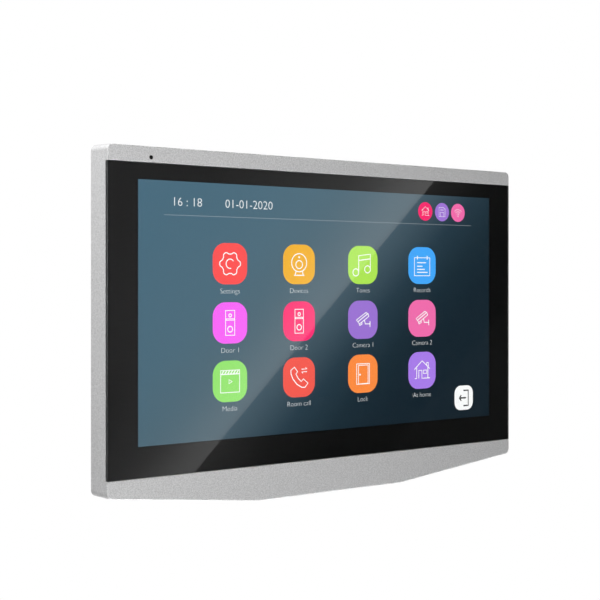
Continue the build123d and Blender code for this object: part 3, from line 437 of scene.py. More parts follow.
@dataclass(frozen=True)
class Ribbon(Finish):
    """Amber ribbon cable with copper lines showing through."""

    film: RGBA = (0.24, 0.085, 0.012, 1.0)
    copper: RGBA = (0.45, 0.20, 0.06, 1.0)
    pitch: float = 0.8 * MM

    def paint(self, graph: Graph) -> None:
        """Run the copper lines along the ribbon."""
        phase = graph.axis(graph.place(), "X") % self.pitch
        line = phase > self.pitch * 0.45
        haze = graph.noise(3 * MM)
        graph.surface(
            base_color=graph.blend(line * 0.8 + haze * 0.2, self.film, self.copper),
            roughness=haze * 0.2 + 0.25,
        )


@dataclass(frozen=True)
class PictureAndSheen:
    """The home screen's backdrop: light that falls off across a 45-degree front, the wallpaper's own blue
    with a painted sheen of the glare that steps down at the edge the glass mirrors.
    """

    front: Vector
    across: Vector
    span: float = 260 * MM
    gain: float = 1.0

    def colour(self, graph: Graph) -> Wire:
        """The backdrop's colour at each place, painted sheen included.

        Args:
            graph: the tree to build in.

        Returns:
            The colour, before the gain.
        """
        place = graph.place()
        along = graph.axis(place, "X") * self.across.x + graph.axis(place, "Z") * self.across.z
        distance = along - self.front.dot(self.across)
        # painted sheen: the stops step down at 0.5, on the glare's mirrored edge, over the wallpaper's own
        # blue
        stops = [
            (0.00, shade(66, 103, 123)),
            (0.30, shade(68, 101, 118)),
            (0.49, shade(69, 93, 105)),
            (0.50, shade(60, 83, 96)),
            (0.60, shade(32, 54, 67)),
            (0.68, shade(20, 40, 51)),
            (0.76, shade(14, 32, 43)),
            (1.00, shade(9, 26, 36)),
        ]
        inputs = {"Fac": distance / self.span + 0.5}
        return graph.node("ShaderNodeValToRGB", {"stops": stops}, inputs)


@dataclass(frozen=True)
class LitBackdrop(Finish):
    """The backdrop's light, with the glare's painted sheen, inside the lit area, and black round it."""

    picture_and_sheen: PictureAndSheen | None = None
    low: Point2 = (0.0, 0.0)
    high: Point2 = (0.0, 0.0)
    lift: float = 0.0
    lifted: RGBA = shade(235, 240, 245)
    grain: float = 0.06

    def paint(self, graph: Graph) -> None:
        """Light the backdrop only inside the rectangle from low to high."""
        place = graph.place()
        across, up = graph.axis(place, "X"), graph.axis(place, "Z")
        (left, bottom), (right, top) = self.low, self.high
        inside = (across > left) * (1 - (across > right)) * (up > bottom) * (1 - (up > top))
        dots = graph.noise(DOT_PITCH, 0.0) * self.grain
        backdrop = graph.blend(self.lift, self.picture_and_sheen.colour(graph), self.lifted)
        lit = graph.blend(inside * (1.0 - dots), grey(0.0), backdrop)
        graph.shine(lit, self.picture_and_sheen.gain)


@dataclass(frozen=True)
class Lit(Finish):
    """One colour of light on the screen, with the panel's faint dot grain."""

    colour: RGBA = grey(1.0)
    gain: float = 1.0
    grain: float = 0.06

    def paint(self, graph: Graph) -> None:
        """Dim the colour a little between the dots."""
        dots = graph.noise(DOT_PITCH, 0.0)
        graph.shine(graph.blend(dots, scaled(self.colour, 1 - self.grain), self.colour), self.gain)


# -------- modelling helpers


def only(obj: bpy.types.Object) -> None:
    """Select one object alone and make it active."""
    bpy.ops.object.select_all(action="DESELECT")
    obj.select_set(True)
    bpy.context.view_layer.objects.active = obj


def add(name: str, operator: Callable[..., set[str]], **settings: Any) -> bpy.types.Object:
    """Add a primitive with nothing else selected.

    Args:
        name: the new piece's name.
        operator: the operator that adds it.
        settings: the operator's settings.

    Returns:
        The new object.
    """
    bpy.ops.object.select_all(action="DESELECT")
    operator(**settings)
    made = bpy.context.active_object
    made.name = name
    return made


def round_sheet(corner: float, segments: int, thickness: float) -> None:
    """Round the active upright sheet's corners and thicken it towards +Y.

    Args:
        corner: the corners' radius.
        segments: how many faces each corner has.
        thickness: the sheet's thickness.
    """
    bpy.ops.object.mode_set(mode="EDIT")
    bpy.ops.mesh.select_all(action="SELECT")
    bpy.ops.mesh.bevel(offset=corner, segments=segments, affect="VERTICES", profile=0.5)
    bpy.ops.mesh.select_all(action="SELECT")
    bpy.ops.mesh.extrude_region_move(TRANSFORM_OT_translate={"value": (0.0, thickness, 0.0)})
    bpy.ops.mesh.select_all(action="SELECT")
    bpy.ops.mesh.normals_make_consistent(inside=False)
    bpy.ops.object.mode_set(mode="OBJECT")


def bake_place(obj: bpy.types.Object) -> None:
    """Move the object's place, turn and scale into its mesh."""
    only(obj)
    bpy.ops.object.transform_apply(location=True, rotation=True, scale=True)


def dress(obj: bpy.types.Object, finish: Finish) -> None:
    """Give an object one finish all over."""
    if not obj.material_slots:
        obj.data.materials.append(finish.material())
    for slot in obj.material_slots:
        slot.material = finish.material()


def settle(obj: bpy.types.Object, body: str, finish: Finish) -> None:
    """Dress a new piece, let it ride on its body and report it.

    Args:
        obj: the finished piece.
        body: the CAD body it moves with.
        finish: what it is dressed in.
    """
    dress(obj, finish)
    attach(obj, body)
    LOG.info("%s: %d faces on %s", obj.name, len(obj.data.polygons), body)


@dataclass
class Screen:
    """The lit area of the panel, and the way from its own millimetres to the frame's metres.

    A place on it is x to the right and y down from the upper left corner, in millimetres.
    """

    left: float
    top: float
    width: float
    height: float
    surface_y: float

    @classmethod
    def from_frame(cls, films_margin: float = 1.5 * MM) -> "Screen":
        """Read the lit area from the backlight films, which stand a margin wider all round.

        The panel is bonded to the glass, so its light comes from the depth of the glass's print.
        """
        low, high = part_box("lcd_films")
        print_low, print_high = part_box("glass_border")
        return cls(
            left=low.x + films_margin,
            top=high.z - films_margin,
            width=high.x - low.x - 2 * films_margin,
            height=high.z - low.z - 2 * films_margin,
            surface_y=(print_low.y + print_high.y) / 2,
        )

    def at(self, x: float, y: float, rise: float = 0.0) -> Vector:
        """The frame's point at x, y millimetres on the screen, a rise in metres in front of the panel."""
        return Vector((self.left + x * MM, self.surface_y - rise, self.top - y * MM))


# -------- signs on the screen


class Sign(Enum):
    """The signs that stand on the home screen's tiles and discs."""

    GEAR = "gear"
    WEBCAM = "webcam"
    NOTE = "note"
    NOTEPAD = "notepad"
    STATION = "station"
    CAMERA = "camera"
    CLIP = "clip"
    HANDSET = "handset"
    DOOR = "door"
    HOUSE = "house"
    CARD = "card"
    WAVES = "waves"
    LEAVE = "leave"


@dataclass
class Pen:
    """Draws a sign with strokes of one width, in millimetres about the sign's centre."""

    width: float
    strokes: list[tuple[list[Point2], bool]] = field(default_factory=list)

    def line(self, *points: Point2, closed: bool = False) -> None:
        """A stroke through the points."""
        self.strokes.append((list(points), closed))

    def frame(self, left: float, bottom: float, right: float, top: float) -> None:
        """A rectangle's outline."""
        self.line((left, bottom), (right, bottom), (right, top), (left, top), closed=True)

    def arc(self, centre: Point2, radius: float, start: float = 0.0, turn: float = 360.0) -> None:
        """An arc from start, through turn degrees counter-clockwise; 360 closes it."""
        closed = turn >= 360.0
        steps = max(6, round(turn / 15))
        count = steps if closed else steps + 1
        angles = [math.radians(start + turn * i / steps) for i in range(count)]
        points = [(centre[0] + radius * math.cos(a), centre[1] + radius * math.sin(a)) for a in angles]
        self.line(*points, closed=closed)

    def draw(self, sign: Sign) -> None:
        """Add the strokes of one sign."""
        getattr(self, sign.value)()

    def gear(self) -> None:
        """A six-lobed wheel round an open ring."""
        steps = 72
        outline = []
        for i in range(steps):
            angle = math.tau * i / steps
            radius = 5.35 + 0.62 * math.tanh(1.8 * math.cos(6 * angle))
            outline.append((radius * math.cos(angle), radius * math.sin(angle)))
        self.line(*outline, closed=True)
        self.arc((0.0, 0.0), 2.3, 35.0, 250.0)

    def webcam(self) -> None:
        """A round camera on a foot."""
        self.arc((0.0, 0.85), 4.65)
        self.arc((0.0, -0.1), 2.05)
        self.arc((0.0, 3.65), 0.3)
        self.line((-1.9, -3.5), (-2.6, -5.6))
        self.line((1.9, -3.5), (2.6, -5.6))
        self.line((-3.2, -5.6), (3.2, -5.6))

    def note(self) -> None:
        """Two music notes under a double beam."""
        self.arc((-4.75, -3.95), 1.9)
        self.arc((3.0, -2.3), 1.9)
        self.line((-2.85, -3.95), (-2.85, 4.9), (4.9, 5.8), (4.9, -2.3))
        self.line((-2.85, 2.4), (4.9, 3.3))

    def notepad(self) -> None:
        """A ruled pad with two rings."""
        self.frame(-5.5, -5.6, 5.5, 4.3)
        for x in (-3.4, 3.6):
            self.line((x, 5.4), (x, 3.3))
        for y, end in ((1.6, 2.8), (-0.4, 0.3), (-2.1, 1.9), (-3.75, 3.9)):
            self.line((-3.6, y), (end, y))

    def station(self) -> None:
        """A door station with its lens, slot and button."""
        self.frame(-2.6, -6.1, 2.6, 6.1)
        self.arc((0.0, 3.65), 0.75)
        self.frame(-2.2, 1.35, 2.2, 2.0)
        self.arc((0.0, -3.1), 1.4)

    def camera(self) -> None:
        """A tilted wall camera on its arm."""
        self.line((-4.4, -0.1), (1.9, 3.75), (3.35, 3.1), (3.9, 1.7), (-2.3, -2.2), closed=True)
        self.line((-3.5, -1.1), (2.9, 2.9))
        self.line((-2.6, -2.0), (-2.2, -3.1), (-0.6, -2.3), (-0.9, -1.3))
        self.line((0.9, -0.3), (1.6, -2.3), (4.7, -2.3))
        self.line((4.7, -0.9), (4.7, -3.9))

    def clip(self) -> None:
        """A film clip with a hatched top and a play mark."""
        self.frame(-5.4, -5.5, 5.4, 5.4)
        self.line((-5.4, 3.5), (5.4, 3.5))
        for i in range(6):
            x = -4.7 + 1.65 * i
            self.line((x, 3.7), (x + 1.1, 5.2))
        self.line((-0.65, 0.8), (-0.65, -1.2), (1.15, -0.2), closed=True)

    def handset(self) -> None:
        """A telephone handset beside two arrows."""
        inner = ((-2.95, 5.3), (-1, 2.95), (-2, 1.75), (-0.7, -0.4), (1.25, -2.2), (2.6, -0.95))
        outer = ((5.45, -3.2), (3.6, -5.3), (1.6, -5.2), (-1.4, -3.5), (-3.9, -0.6), (-5, 1.9), (-5.1, 3.75))
        self.line(*inner, *outer, closed=True)
        self.line((1.5, 4.1), (4.8, 4.1), (3.9, 4.8))
        self.line((4.8, 2.7), (1.5, 2.7), (2.4, 2.0))

    def door(self) -> None:
        """A door standing ajar in its frame."""
        self.frame(-4.2, -5.5, 4.3, 5.3)
        self.line((-3.0, 4.5), (3.4, 4.5), (3.4, -5.2), (-3.0, -5.4), closed=True)
        self.arc((-2.0, -0.45), 0.25)

    def house(self) -> None:
        """A house with its chimney, door and window."""
        self.line((-5.5, 0.7), (0.0, 5.2), (5.5, 0.7))
        self.line((3.2, 2.8), (3.2, 4.1), (4.4, 4.1), (4.4, 1.9))
        self.line((-5.3, -4.4), (-3.9, -4.4), (-3.9, 1.4))
        self.line((-2.4, -4.4), (-2.4, 0.0), (-0.2, 0.0), (-0.2, -4.4), (5.6, -4.4))
        self.line((4.1, -4.4), (4.1, 1.4))
        self.frame(0.9, -1.8, 3.2, 0.0)

    def card(self) -> None:
        """A memory card with a cut corner."""
        self.line((-4.4, -5.0), (4.4, -5.0), (4.4, 3.2), (2.4, 5.0), (-4.4, 5.0), closed=True)
        self.line((-2.6, 2.4), (2.2, 2.4))
        self.line((-2.6, -4.8), (-2.6, -0.4), (2.6, -0.4), (2.6, -4.8))

    def waves(self) -> None:
        """Three arcs over a dot."""
        for radius in (2.6, 5.0, 7.4):
            self.arc((0.0, -3.8), radius, 45.0, 90.0)
        self.arc((0.0, -3.8), 0.5)

    def leave(self) -> None:
        """An arrow that leaves through a bracket."""
        self.line((1.7, -0.1), (-3.3, -0.1))
        self.line((-1.9, 1.5), (-3.3, -0.1), (-1.9, -1.7))
        self.line((-0.2, 4.1), (3.4, 4.1), (3.4, -4.5), (-0.2, -4.5))

    def piece(self, name: str, centre: Vector, scale: float, thickness: float) -> bpy.types.Object:
        """Turn the strokes into one flat, closed mesh that faces -Y.

        Args:
            name: the piece's name.
            centre: the sign's centre in the frame.
            scale: its size against the drawing.
            thickness: the strokes' thickness in metres.

        Returns:
            The new object.
        """
        curve = bpy.data.curves.new(name, "CURVE")
        curve.dimensions = "3D"
        curve.bevel_depth = self.width / 2 * MM
        curve.bevel_resolution = 1
        curve.use_fill_caps = True
        for points, closed in self.strokes:
            spline = curve.splines.new("POLY")
            spline.points.add(len(points) - 1)
            spline.use_cyclic_u = closed
            for target, (x, y) in zip(spline.points, points):
                target.co = (x * scale * MM, y * scale * MM, 0.0, 1.0)
        made = bpy.data.objects.new(name, curve)
        bpy.context.scene.collection.objects.link(made)
        only(made)
        bpy.ops.object.convert(target="MESH")
        made = bpy.context.view_layer.objects.active
        made.scale = (1.0, 1.0, thickness / (self.width * MM))
        made.rotation_euler = UPRIGHT
        made.location = centre
        bake_place(made)
        return made


# -------- the home screen


@dataclass(frozen=True)
class Tile:
    """One key of the home screen: its colour, sign and caption."""

    name: str
    colour: RGBA
    sign: Sign
    caption: str


@dataclass
class HomeScreen:
    """The lit home screen: backdrop, tiles with signs and captions, clock, rule and status discs."""

    screen: Screen
    body: str = "monitor"
    slot: str = "panel_glass"
    gain: float = 1.1
    tile_size: float = 20.3
    tile_corner: float = 6.9
    tile_slimness: float = 0.965
    columns: int = 4
    first_column: float = 49.75
    column_pitch: float = 40.95
    rows: tuple[float, float, float] = (39.2, 68.3, 97.0)
    caption_drop: float = 13.4
    caption_height: float = 2.5
    caption_thinning: float = 0.022
    stroke: float = 0.54
    sign_ink: RGBA = shade(255, 254, 254)
    clock_height: float = 4.1
    clock_thinning: float = 0.012
    clock_x: float = 26.4
    date_x: float = 60.8
    clock_y: float = 9.75
    rule_ends: Point2 = (13.5, 208.75)
    rule_y: float = 16.25
    rule_height: float = 0.34
    rule_lift: float = 0.2
    disc_radius: float = 5.12
    disc_y: float = 9.2
    disc_stroke: float = 0.22
    disc_sign_scale: float = 0.5
    disc_ink: RGBA = shade(255, 232, 240)
    leave_place: Point2 = (203.3, 113.9)
    leave_size: float = 13.8
    leave_corner: float = 4.4
    leave_stroke: float = 0.85
    layer: float = 0.03 * MM
    ink_layers: float = 2.2
    window_gap: float = 0.25 * MM
    letter_depth: float = 0.003
    capital_share: float = 0.682
    ink: RGBA = shade(236, 238, 240)
    # ends of the slanting front, on the glare card's mirrored edge; the backdrop's painted sheen follows it
    front_top: Point2 = (180.75, -8.4)
    front_bottom: Point2 = (29.1, 139.5)
    tiles: tuple[Tile, ...] = (
        Tile("settings", shade(255, 77, 77), Sign.GEAR, "Settings"),
        Tile("devices", shade(244, 178, 34), Sign.WEBCAM, "Devices"),
        Tile("tones", shade(174, 231, 80), Sign.NOTE, "Tones"),
        Tile("records", shade(66, 168, 252), Sign.NOTEPAD, "Records"),
        Tile("door_one", shade(250, 98, 248), Sign.STATION, "Door 1"),
        Tile("door_two", shade(254, 28, 113), Sign.STATION, "Door 2"),
        Tile("camera_one", shade(156, 114, 212), Sign.CAMERA, "Camera 1"),
        Tile("camera_two", shade(243, 109, 174), Sign.CAMERA, "Camera 2"),
        Tile("media", shade(147, 228, 107), Sign.CLIP, "Media"),
        Tile("call", shade(246, 88, 76), Sign.HANDSET, "Room call"),
        Tile("lock", shade(255, 140, 64), Sign.DOOR, "Lock"),
        Tile("home", shade(170, 125, 236), Sign.HOUSE, "At home"),
    )

    def picture_and_sheen(self) -> PictureAndSheen:
        """The backdrop's light with the glare's painted sheen, which turns from bright to dark along the
        slanting front where the glass mirrors the glare card's edge.
        """
        start, end = self.screen.at(*self.front_top), self.screen.at(*self.front_bottom)
        along = (end - start).normalized()
        return PictureAndSheen(front=start, across=Vector((-along.z, 0.0, along.x)), gain=self.gain)

    def backdrop(self, name: str, lift: float = 0.0) -> LitBackdrop:
        """The backdrop's finish over the whole lit area, lifted towards white for the rule."""
        low = self.screen.at(0, self.screen.height / MM)
        high = self.screen.at(self.screen.width / MM, 0)
        return LitBackdrop(name, self.picture_and_sheen(), (low.x, low.z), (high.x, high.z), lift)

    def light_panel(self) -> None:
        """Lay the panel's front film in the window of the print, a little wider than the lit area."""
        width, height = self.screen.width, self.screen.height
        middle = self.screen.at(width / MM / 2, height / MM / 2)
        plane = bpy.ops.mesh.primitive_plane_add
        made = add("panel_film", plane, size=1.0, location=middle, rotation=UPRIGHT)
        made.scale = (width + self.window_gap, height + self.window_gap, 1.0)
        bake_place(made)
        round_sheet(self.window_gap, 3, self.layer)
        settle(made, self.body, self.backdrop("lit backdrop and sheen"))

    def plate(
        self, name: str, x: float, y: float, size: float, corner: float, colour: RGBA, slimness: float = 1.0
    ) -> None:
        """A thin plate of light with round corners.

        Args:
            name: the piece's name.
            x, y: its centre on the screen, in millimetres.
            size: its height.
            corner: its corners' radius.
            colour: its light.
            slimness: its width against its height.
        """
        place = self.screen.at(x, y, self.layer)
        made = add(name, bpy.ops.mesh.primitive_plane_add, size=size * MM, location=place, rotation=UPRIGHT)
        made.scale.x = slimness
        bake_place(made)
        round_sheet(corner * MM, 14, self.layer / 2)
        settle(made, self.body, Lit(name + " light", colour, self.gain))

    def words(self, name: str, text: str, x: float, y: float, capital: float, thinning: float = 0.0) -> None:
        """A line of text, centred on x, y.

        Args:
            name: the piece's name.
            text: what it says.
            x, y: the middle of its line of capitals on the screen, in millimetres.
            capital: the height of a capital letter, in millimetres.
            thinning: how much each letter's outline shrinks, against the letter's size.
        """
        made = add(name, bpy.ops.object.text_add, rotation=UPRIGHT)
        made.data.body = text
        made.data.offset = -thinning
        made.data.extrude = self.letter_depth
        made.data.resolution_u = 3
        bpy.ops.object.convert(target="MESH")
        made = bpy.context.view_layer.objects.active
        xs = [corner[0] for corner in made.bound_box]
        made.data.transform(Matrix.Translation((-(min(xs) + max(xs)) / 2, -self.capital_share / 2, 0.0)))
        made.scale = (capital * MM / self.capital_share,) * 3
        made.location = self.screen.at(x, y, self.ink_layers * self.layer)
        bake_place(made)
        settle(made, self.body, Lit("caption light", self.ink, self.gain))

    def sign(
        self, name: str, sign: Sign, x: float, y: float, scale: float, stroke: float, ink: RGBA
    ) -> None:
        """A sign on its tile or disc.

        Args:
            name: the piece's name.
            sign: what it shows.
            x, y: its centre on the screen, in millimetres.
            scale: its size against the drawing.
            stroke: the width of its lines, in millimetres.
            ink: its light.
        """
        pen = Pen(stroke)
        pen.draw(sign)
        made = pen.piece(name, self.screen.at(x, y, self.ink_layers * self.layer), scale, self.layer / 2)
        settle(made, self.body, Lit(name.rsplit("_", 1)[-1] + " light", ink, self.gain))

    def lay_tiles(self) -> None:
        """The twelve keys with their signs and captions."""
        for index, tile in enumerate(self.tiles):
            row, column = divmod(index, self.columns)
            x, y = self.first_column + self.column_pitch * column, self.rows[row]
            name = "tile_" + tile.name
            self.plate(name, x, y, self.tile_size, self.tile_corner, tile.colour, self.tile_slimness)
            self.sign(name + "_sign", tile.sign, x, y, 1.0, self.stroke, self.sign_ink)
            below = y + self.caption_drop
            caption = "caption_" + tile.name
            self.words(caption, tile.caption, x, below, self.caption_height, self.caption_thinning)

    def lay_status(self) -> None:
        """The clock, the date and the three status discs."""
        for name, text, x in (("clock", "16 : 18", self.clock_x), ("date", "01-01-2020", self.date_x)):
            self.words(name, text, x, self.clock_y, self.clock_height, self.clock_thinning)
        discs = (
            ("disc_home", 174.9, shade(250, 30, 108), Sign.HOUSE),
            ("disc_card", 187.1, shade(160, 116, 214), Sign.CARD),
            ("disc_network", 198.9, shade(245, 106, 172), Sign.WAVES),
        )
        nearly_round = 0.998 * self.disc_radius
        scale, stroke = self.disc_sign_scale, self.disc_stroke
        for name, x, colour, sign in discs:
            self.plate(name, x, self.disc_y, 2 * self.disc_radius, nearly_round, colour)
            self.sign(name + "_sign", sign, x, self.disc_y, scale, stroke, self.disc_ink)

    def lay_rule(self) -> None:
        """The fine rule under the clock."""
        start, end = self.rule_ends
        place = self.screen.at((start + end) / 2, self.rule_y, self.layer)
        made = add("status_rule", bpy.ops.mesh.primitive_cube_add, size=1.0, location=place)
        made.scale = ((end - start) * MM, self.layer / 2, self.rule_height * MM)
        bake_place(made)
        settle(made, self.body, self.backdrop("rule light", self.rule_lift))

    def lay_leave_key(self) -> None:
        """The white key that leaves the menu."""
        x, y = self.leave_place
        self.plate("key_leave", x, y, self.leave_size, self.leave_corner, shade(254, 254, 254))
        self.sign("key_leave_mark", Sign.LEAVE, x, y, 1.0, self.leave_stroke, shade(12, 12, 14))

    def build(self) -> None:
        """Light the panel and lay everything on it."""
        self.light_panel()
        self.lay_tiles()
        self.lay_status()
        self.lay_rule()
        self.lay_leave_key()


# -------- glass, housing and inside


@dataclass
class GlassPane:
    """The cover glass, with polished edges and a hair of air in front of its print and the panel."""

    air: float = 0.12 * MM
    polish: float = 0.18 * MM
    front_tilt: float = 0.97      # of a normal, under which a face belongs to the edge

    def build(self) -> None:
        """Model the pane from a cube and let it stand for the CAD glass."""
        low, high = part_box("cover_glass")
        high.y -= self.air
        made = add("glass_pane", bpy.ops.mesh.primitive_cube_add, size=1.0, location=(low + high) / 2)
        made.scale = high - low
        bake_place(made)
        bpy.ops.object.mode_set(mode="EDIT")
        bpy.ops.mesh.select_all(action="SELECT")
        bpy.ops.mesh.bevel(offset=self.polish, segments=2, affect="EDGES", profile=0.5)
        bpy.ops.object.mode_set(mode="OBJECT")
        settle(made, "monitor", ClearGlass("cover glass"))
        # the pane's edge faces take the near-black finish instead of clear glass
        made.data.materials.append(BlackEdge("black glass edge").material())
        for face in made.data.polygons:
            if abs(face.normal.y) < self.front_tilt:
                face.material_index = 1
        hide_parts("cover_glass")


@dataclass
class MicShadeDisc:
    """A black disc in the microphone's hole, just behind its mouth, dished a little: painted shade that
    makes the hole read black.
    """

    radius: float = 0.98 * MM
    depth: float = 0.12 * MM
    thickness: float = 0.15 * MM
    rings: int = 3

    def build(self) -> None:
        """Model a dished disc behind the hole's mouth."""
        boot_low, boot_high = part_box("mic_boot")
        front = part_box("front_frame")[0].y
        place = ((boot_low.x + boot_high.x) / 2, front + self.depth, (boot_low.z + boot_high.z) / 2)
        circle = {"vertices": 48, "radius": self.radius, "fill_type": "NGON", "rotation": UPRIGHT}
        made = add("mic_gauze", bpy.ops.mesh.primitive_circle_add, location=place, **circle)
        bake_place(made)
        bpy.ops.object.mode_set(mode="EDIT")
        bpy.ops.mesh.select_all(action="SELECT")
        for _ in range(self.rings):
            depth = self.thickness / 2 / self.rings
            bpy.ops.mesh.inset(thickness=self.radius / (self.rings + 1), depth=-depth)
        bpy.ops.object.mode_set(mode="OBJECT")
        solid = made.modifiers.new("wall", "SOLIDIFY")
        solid.thickness = self.thickness
        solid.offset = -1.0
        bpy.ops.object.modifier_apply(modifier=solid.name)
        # painted shade: a black disc where the deep hole has only shade
        settle(made, "monitor", BackPrintAndShade("mic hole shade"))


class Housing:
    """The CAD nodes that are carried over, sorted by finish."""

    finishes: dict[Finish, tuple[str, ...]] = {
        MetallicPaint("silver paint"): ("front_frame",),
        BackPrintAndShade("black back print"): ("glass_border",),
        Moulded("black tape", grey(0.012), roughness=0.6): ("glass_tape",),
        Metal("zinc plate", (0.56, 0.57, 0.58, 1.0), 0.34): (
            "wall_bracket", "lcd_back_tray", "support_plate",
        ),
        Metal("stainless sheet", grey(0.5), 0.28): ("lcd_bezel",),
        Metal("tinned sheet", (0.60, 0.60, 0.56, 1.0), 0.3): ("shield_can", "card_socket", "power_switch"),
        Metal("zinc screws", grey(0.62), 0.3, 0.1 * MM, EVEN): (
            "plate_screws", "board_screws", "side_board_screws", "speaker_screws",
        ),
        Metal("black screws", grey(0.05), 0.36, 0.1 * MM, EVEN): ("case_screws",),
        Metal("brass", (0.72, 0.47, 0.16, 1.0), 0.25, 0.1 * MM): ("board_standoffs", "header_pins"),
        Metal("cell steel", (0.66, 0.65, 0.62, 1.0), 0.22, 0.1 * MM, EVEN): (
            "coin_cell", "mic_capsule", "speaker_magnet",
        ),
        Metal("bright can", (0.75, 0.75, 0.77, 1.0), 0.28, 0.15 * MM): ("board_capacitors",),
        CircuitBoard("green board"): ("main_board", "side_board"),
        CircuitBoard("blue module", (0.01, 0.03, 0.12, 1.0), (0.02, 0.05, 0.2, 1.0)): ("wifi_module",),
        Ribbon("amber ribbon"): ("touch_flex", "lcd_flex", "side_board_cable"),
        Moulded("white film", grey(0.8), 1.5 * MM, 0.004 * MM, 0.5, 0.03): ("lcd_films",),
        Moulded("lamp strip", (0.78, 0.74, 0.5, 1.0), 0.5 * MM, 0.01 * MM, 0.4): ("lcd_led_bar",),
        ClearGlass("clear acrylic", (0.96, 0.98, 0.98, 1.0), 0.02, 1.49): ("lcd_light_guide",),
        Moulded("grey foam", grey(0.06), 0.6 * MM, 0.15 * MM, 0.85, 0.3): (
            "lcd_foam_pads", "speaker_gasket",
        ),
        Moulded("black chip", grey(0.016), 0.2 * MM, 0.01 * MM, 0.42): (
            "processor", "memory_chips", "memory_card", "power_inductors",
        ),
        Moulded("panel glass", grey(0.004), 1.5 * MM, 0.002 * MM, 0.2): ("lcd_cell",),
        Moulded("antenna film", grey(0.02), 0.5 * MM, 0.005 * MM, 0.35): ("wifi_antenna",),
        Moulded("cable jacket", grey(0.014), 0.3 * MM, 0.01 * MM, 0.45): (
            "antenna_lead", "speaker_lead", "mic_lead",
        ),
        Moulded("black plastic", grey(0.02), 0.25 * MM, 0.012 * MM, 0.45): (
            "coin_cell_holder", "speaker_basket", "reset_switch", "power_slider",
        ),
        Moulded("soft rubber", grey(0.018), 0.4 * MM, 0.01 * MM, 0.6): ("speaker_surround", "mic_boot"),
        Moulded("cone film", grey(0.03), 0.8 * MM, 0.02 * MM, 0.4): ("speaker_cone",),
        Moulded("ivory nylon", (0.72, 0.66, 0.52, 1.0), 0.3 * MM, 0.008 * MM, 0.4, 0.05): (
            "flex_connectors", "cable_headers", "power_header", "lead_plugs", "reset_plunger",
        ),
        Moulded("rear plastic", grey(0.022), 0.32 * MM, 0.035 * MM, 0.55, 0.2): ("rear_cover",),
        Moulded("blank label", grey(0.55), 0.4 * MM, 0.003 * MM, 0.35, 0.03): ("blank_label",),
    }

    def dress_all(self, nodes: dict[str, bpy.types.Object]) -> None:
        """Dress each node and name those that were left out.

        Args:
            nodes: the frame's nodes by name.
        """
        for finish, names in self.finishes.items():
            for name in names:
                dress(nodes[name], finish)
        for name in sorted(set(nodes) - {"cover_glass"}.union(*self.finishes.values())):
            LOG.warning("%s has no finish", name)


# -------- studio


@dataclass(frozen=True)
class Lamp:
    """One soft area lamp."""

    name: str
    place: tuple[float, float, float]
    size: float
    watts: float
    aim: tuple[float, float, float] = (0.0, 0.0, 0.0)

    def build(self) -> None:
        """Hang the lamp and turn it to its aim."""
        data = bpy.data.lights.new(self.name, "AREA")
        data.shape = "DISK"
        data.size = self.size
        data.energy = self.watts
        made = bpy.data.objects.new(self.name, data)
        made.location = self.place
        made.rotation_euler = (Vector(self.aim) - Vector(self.place)).to_track_quat("-Z", "Y").to_euler()
        made.visible_camera = False
        bpy.context.scene.collection.objects.link(made)


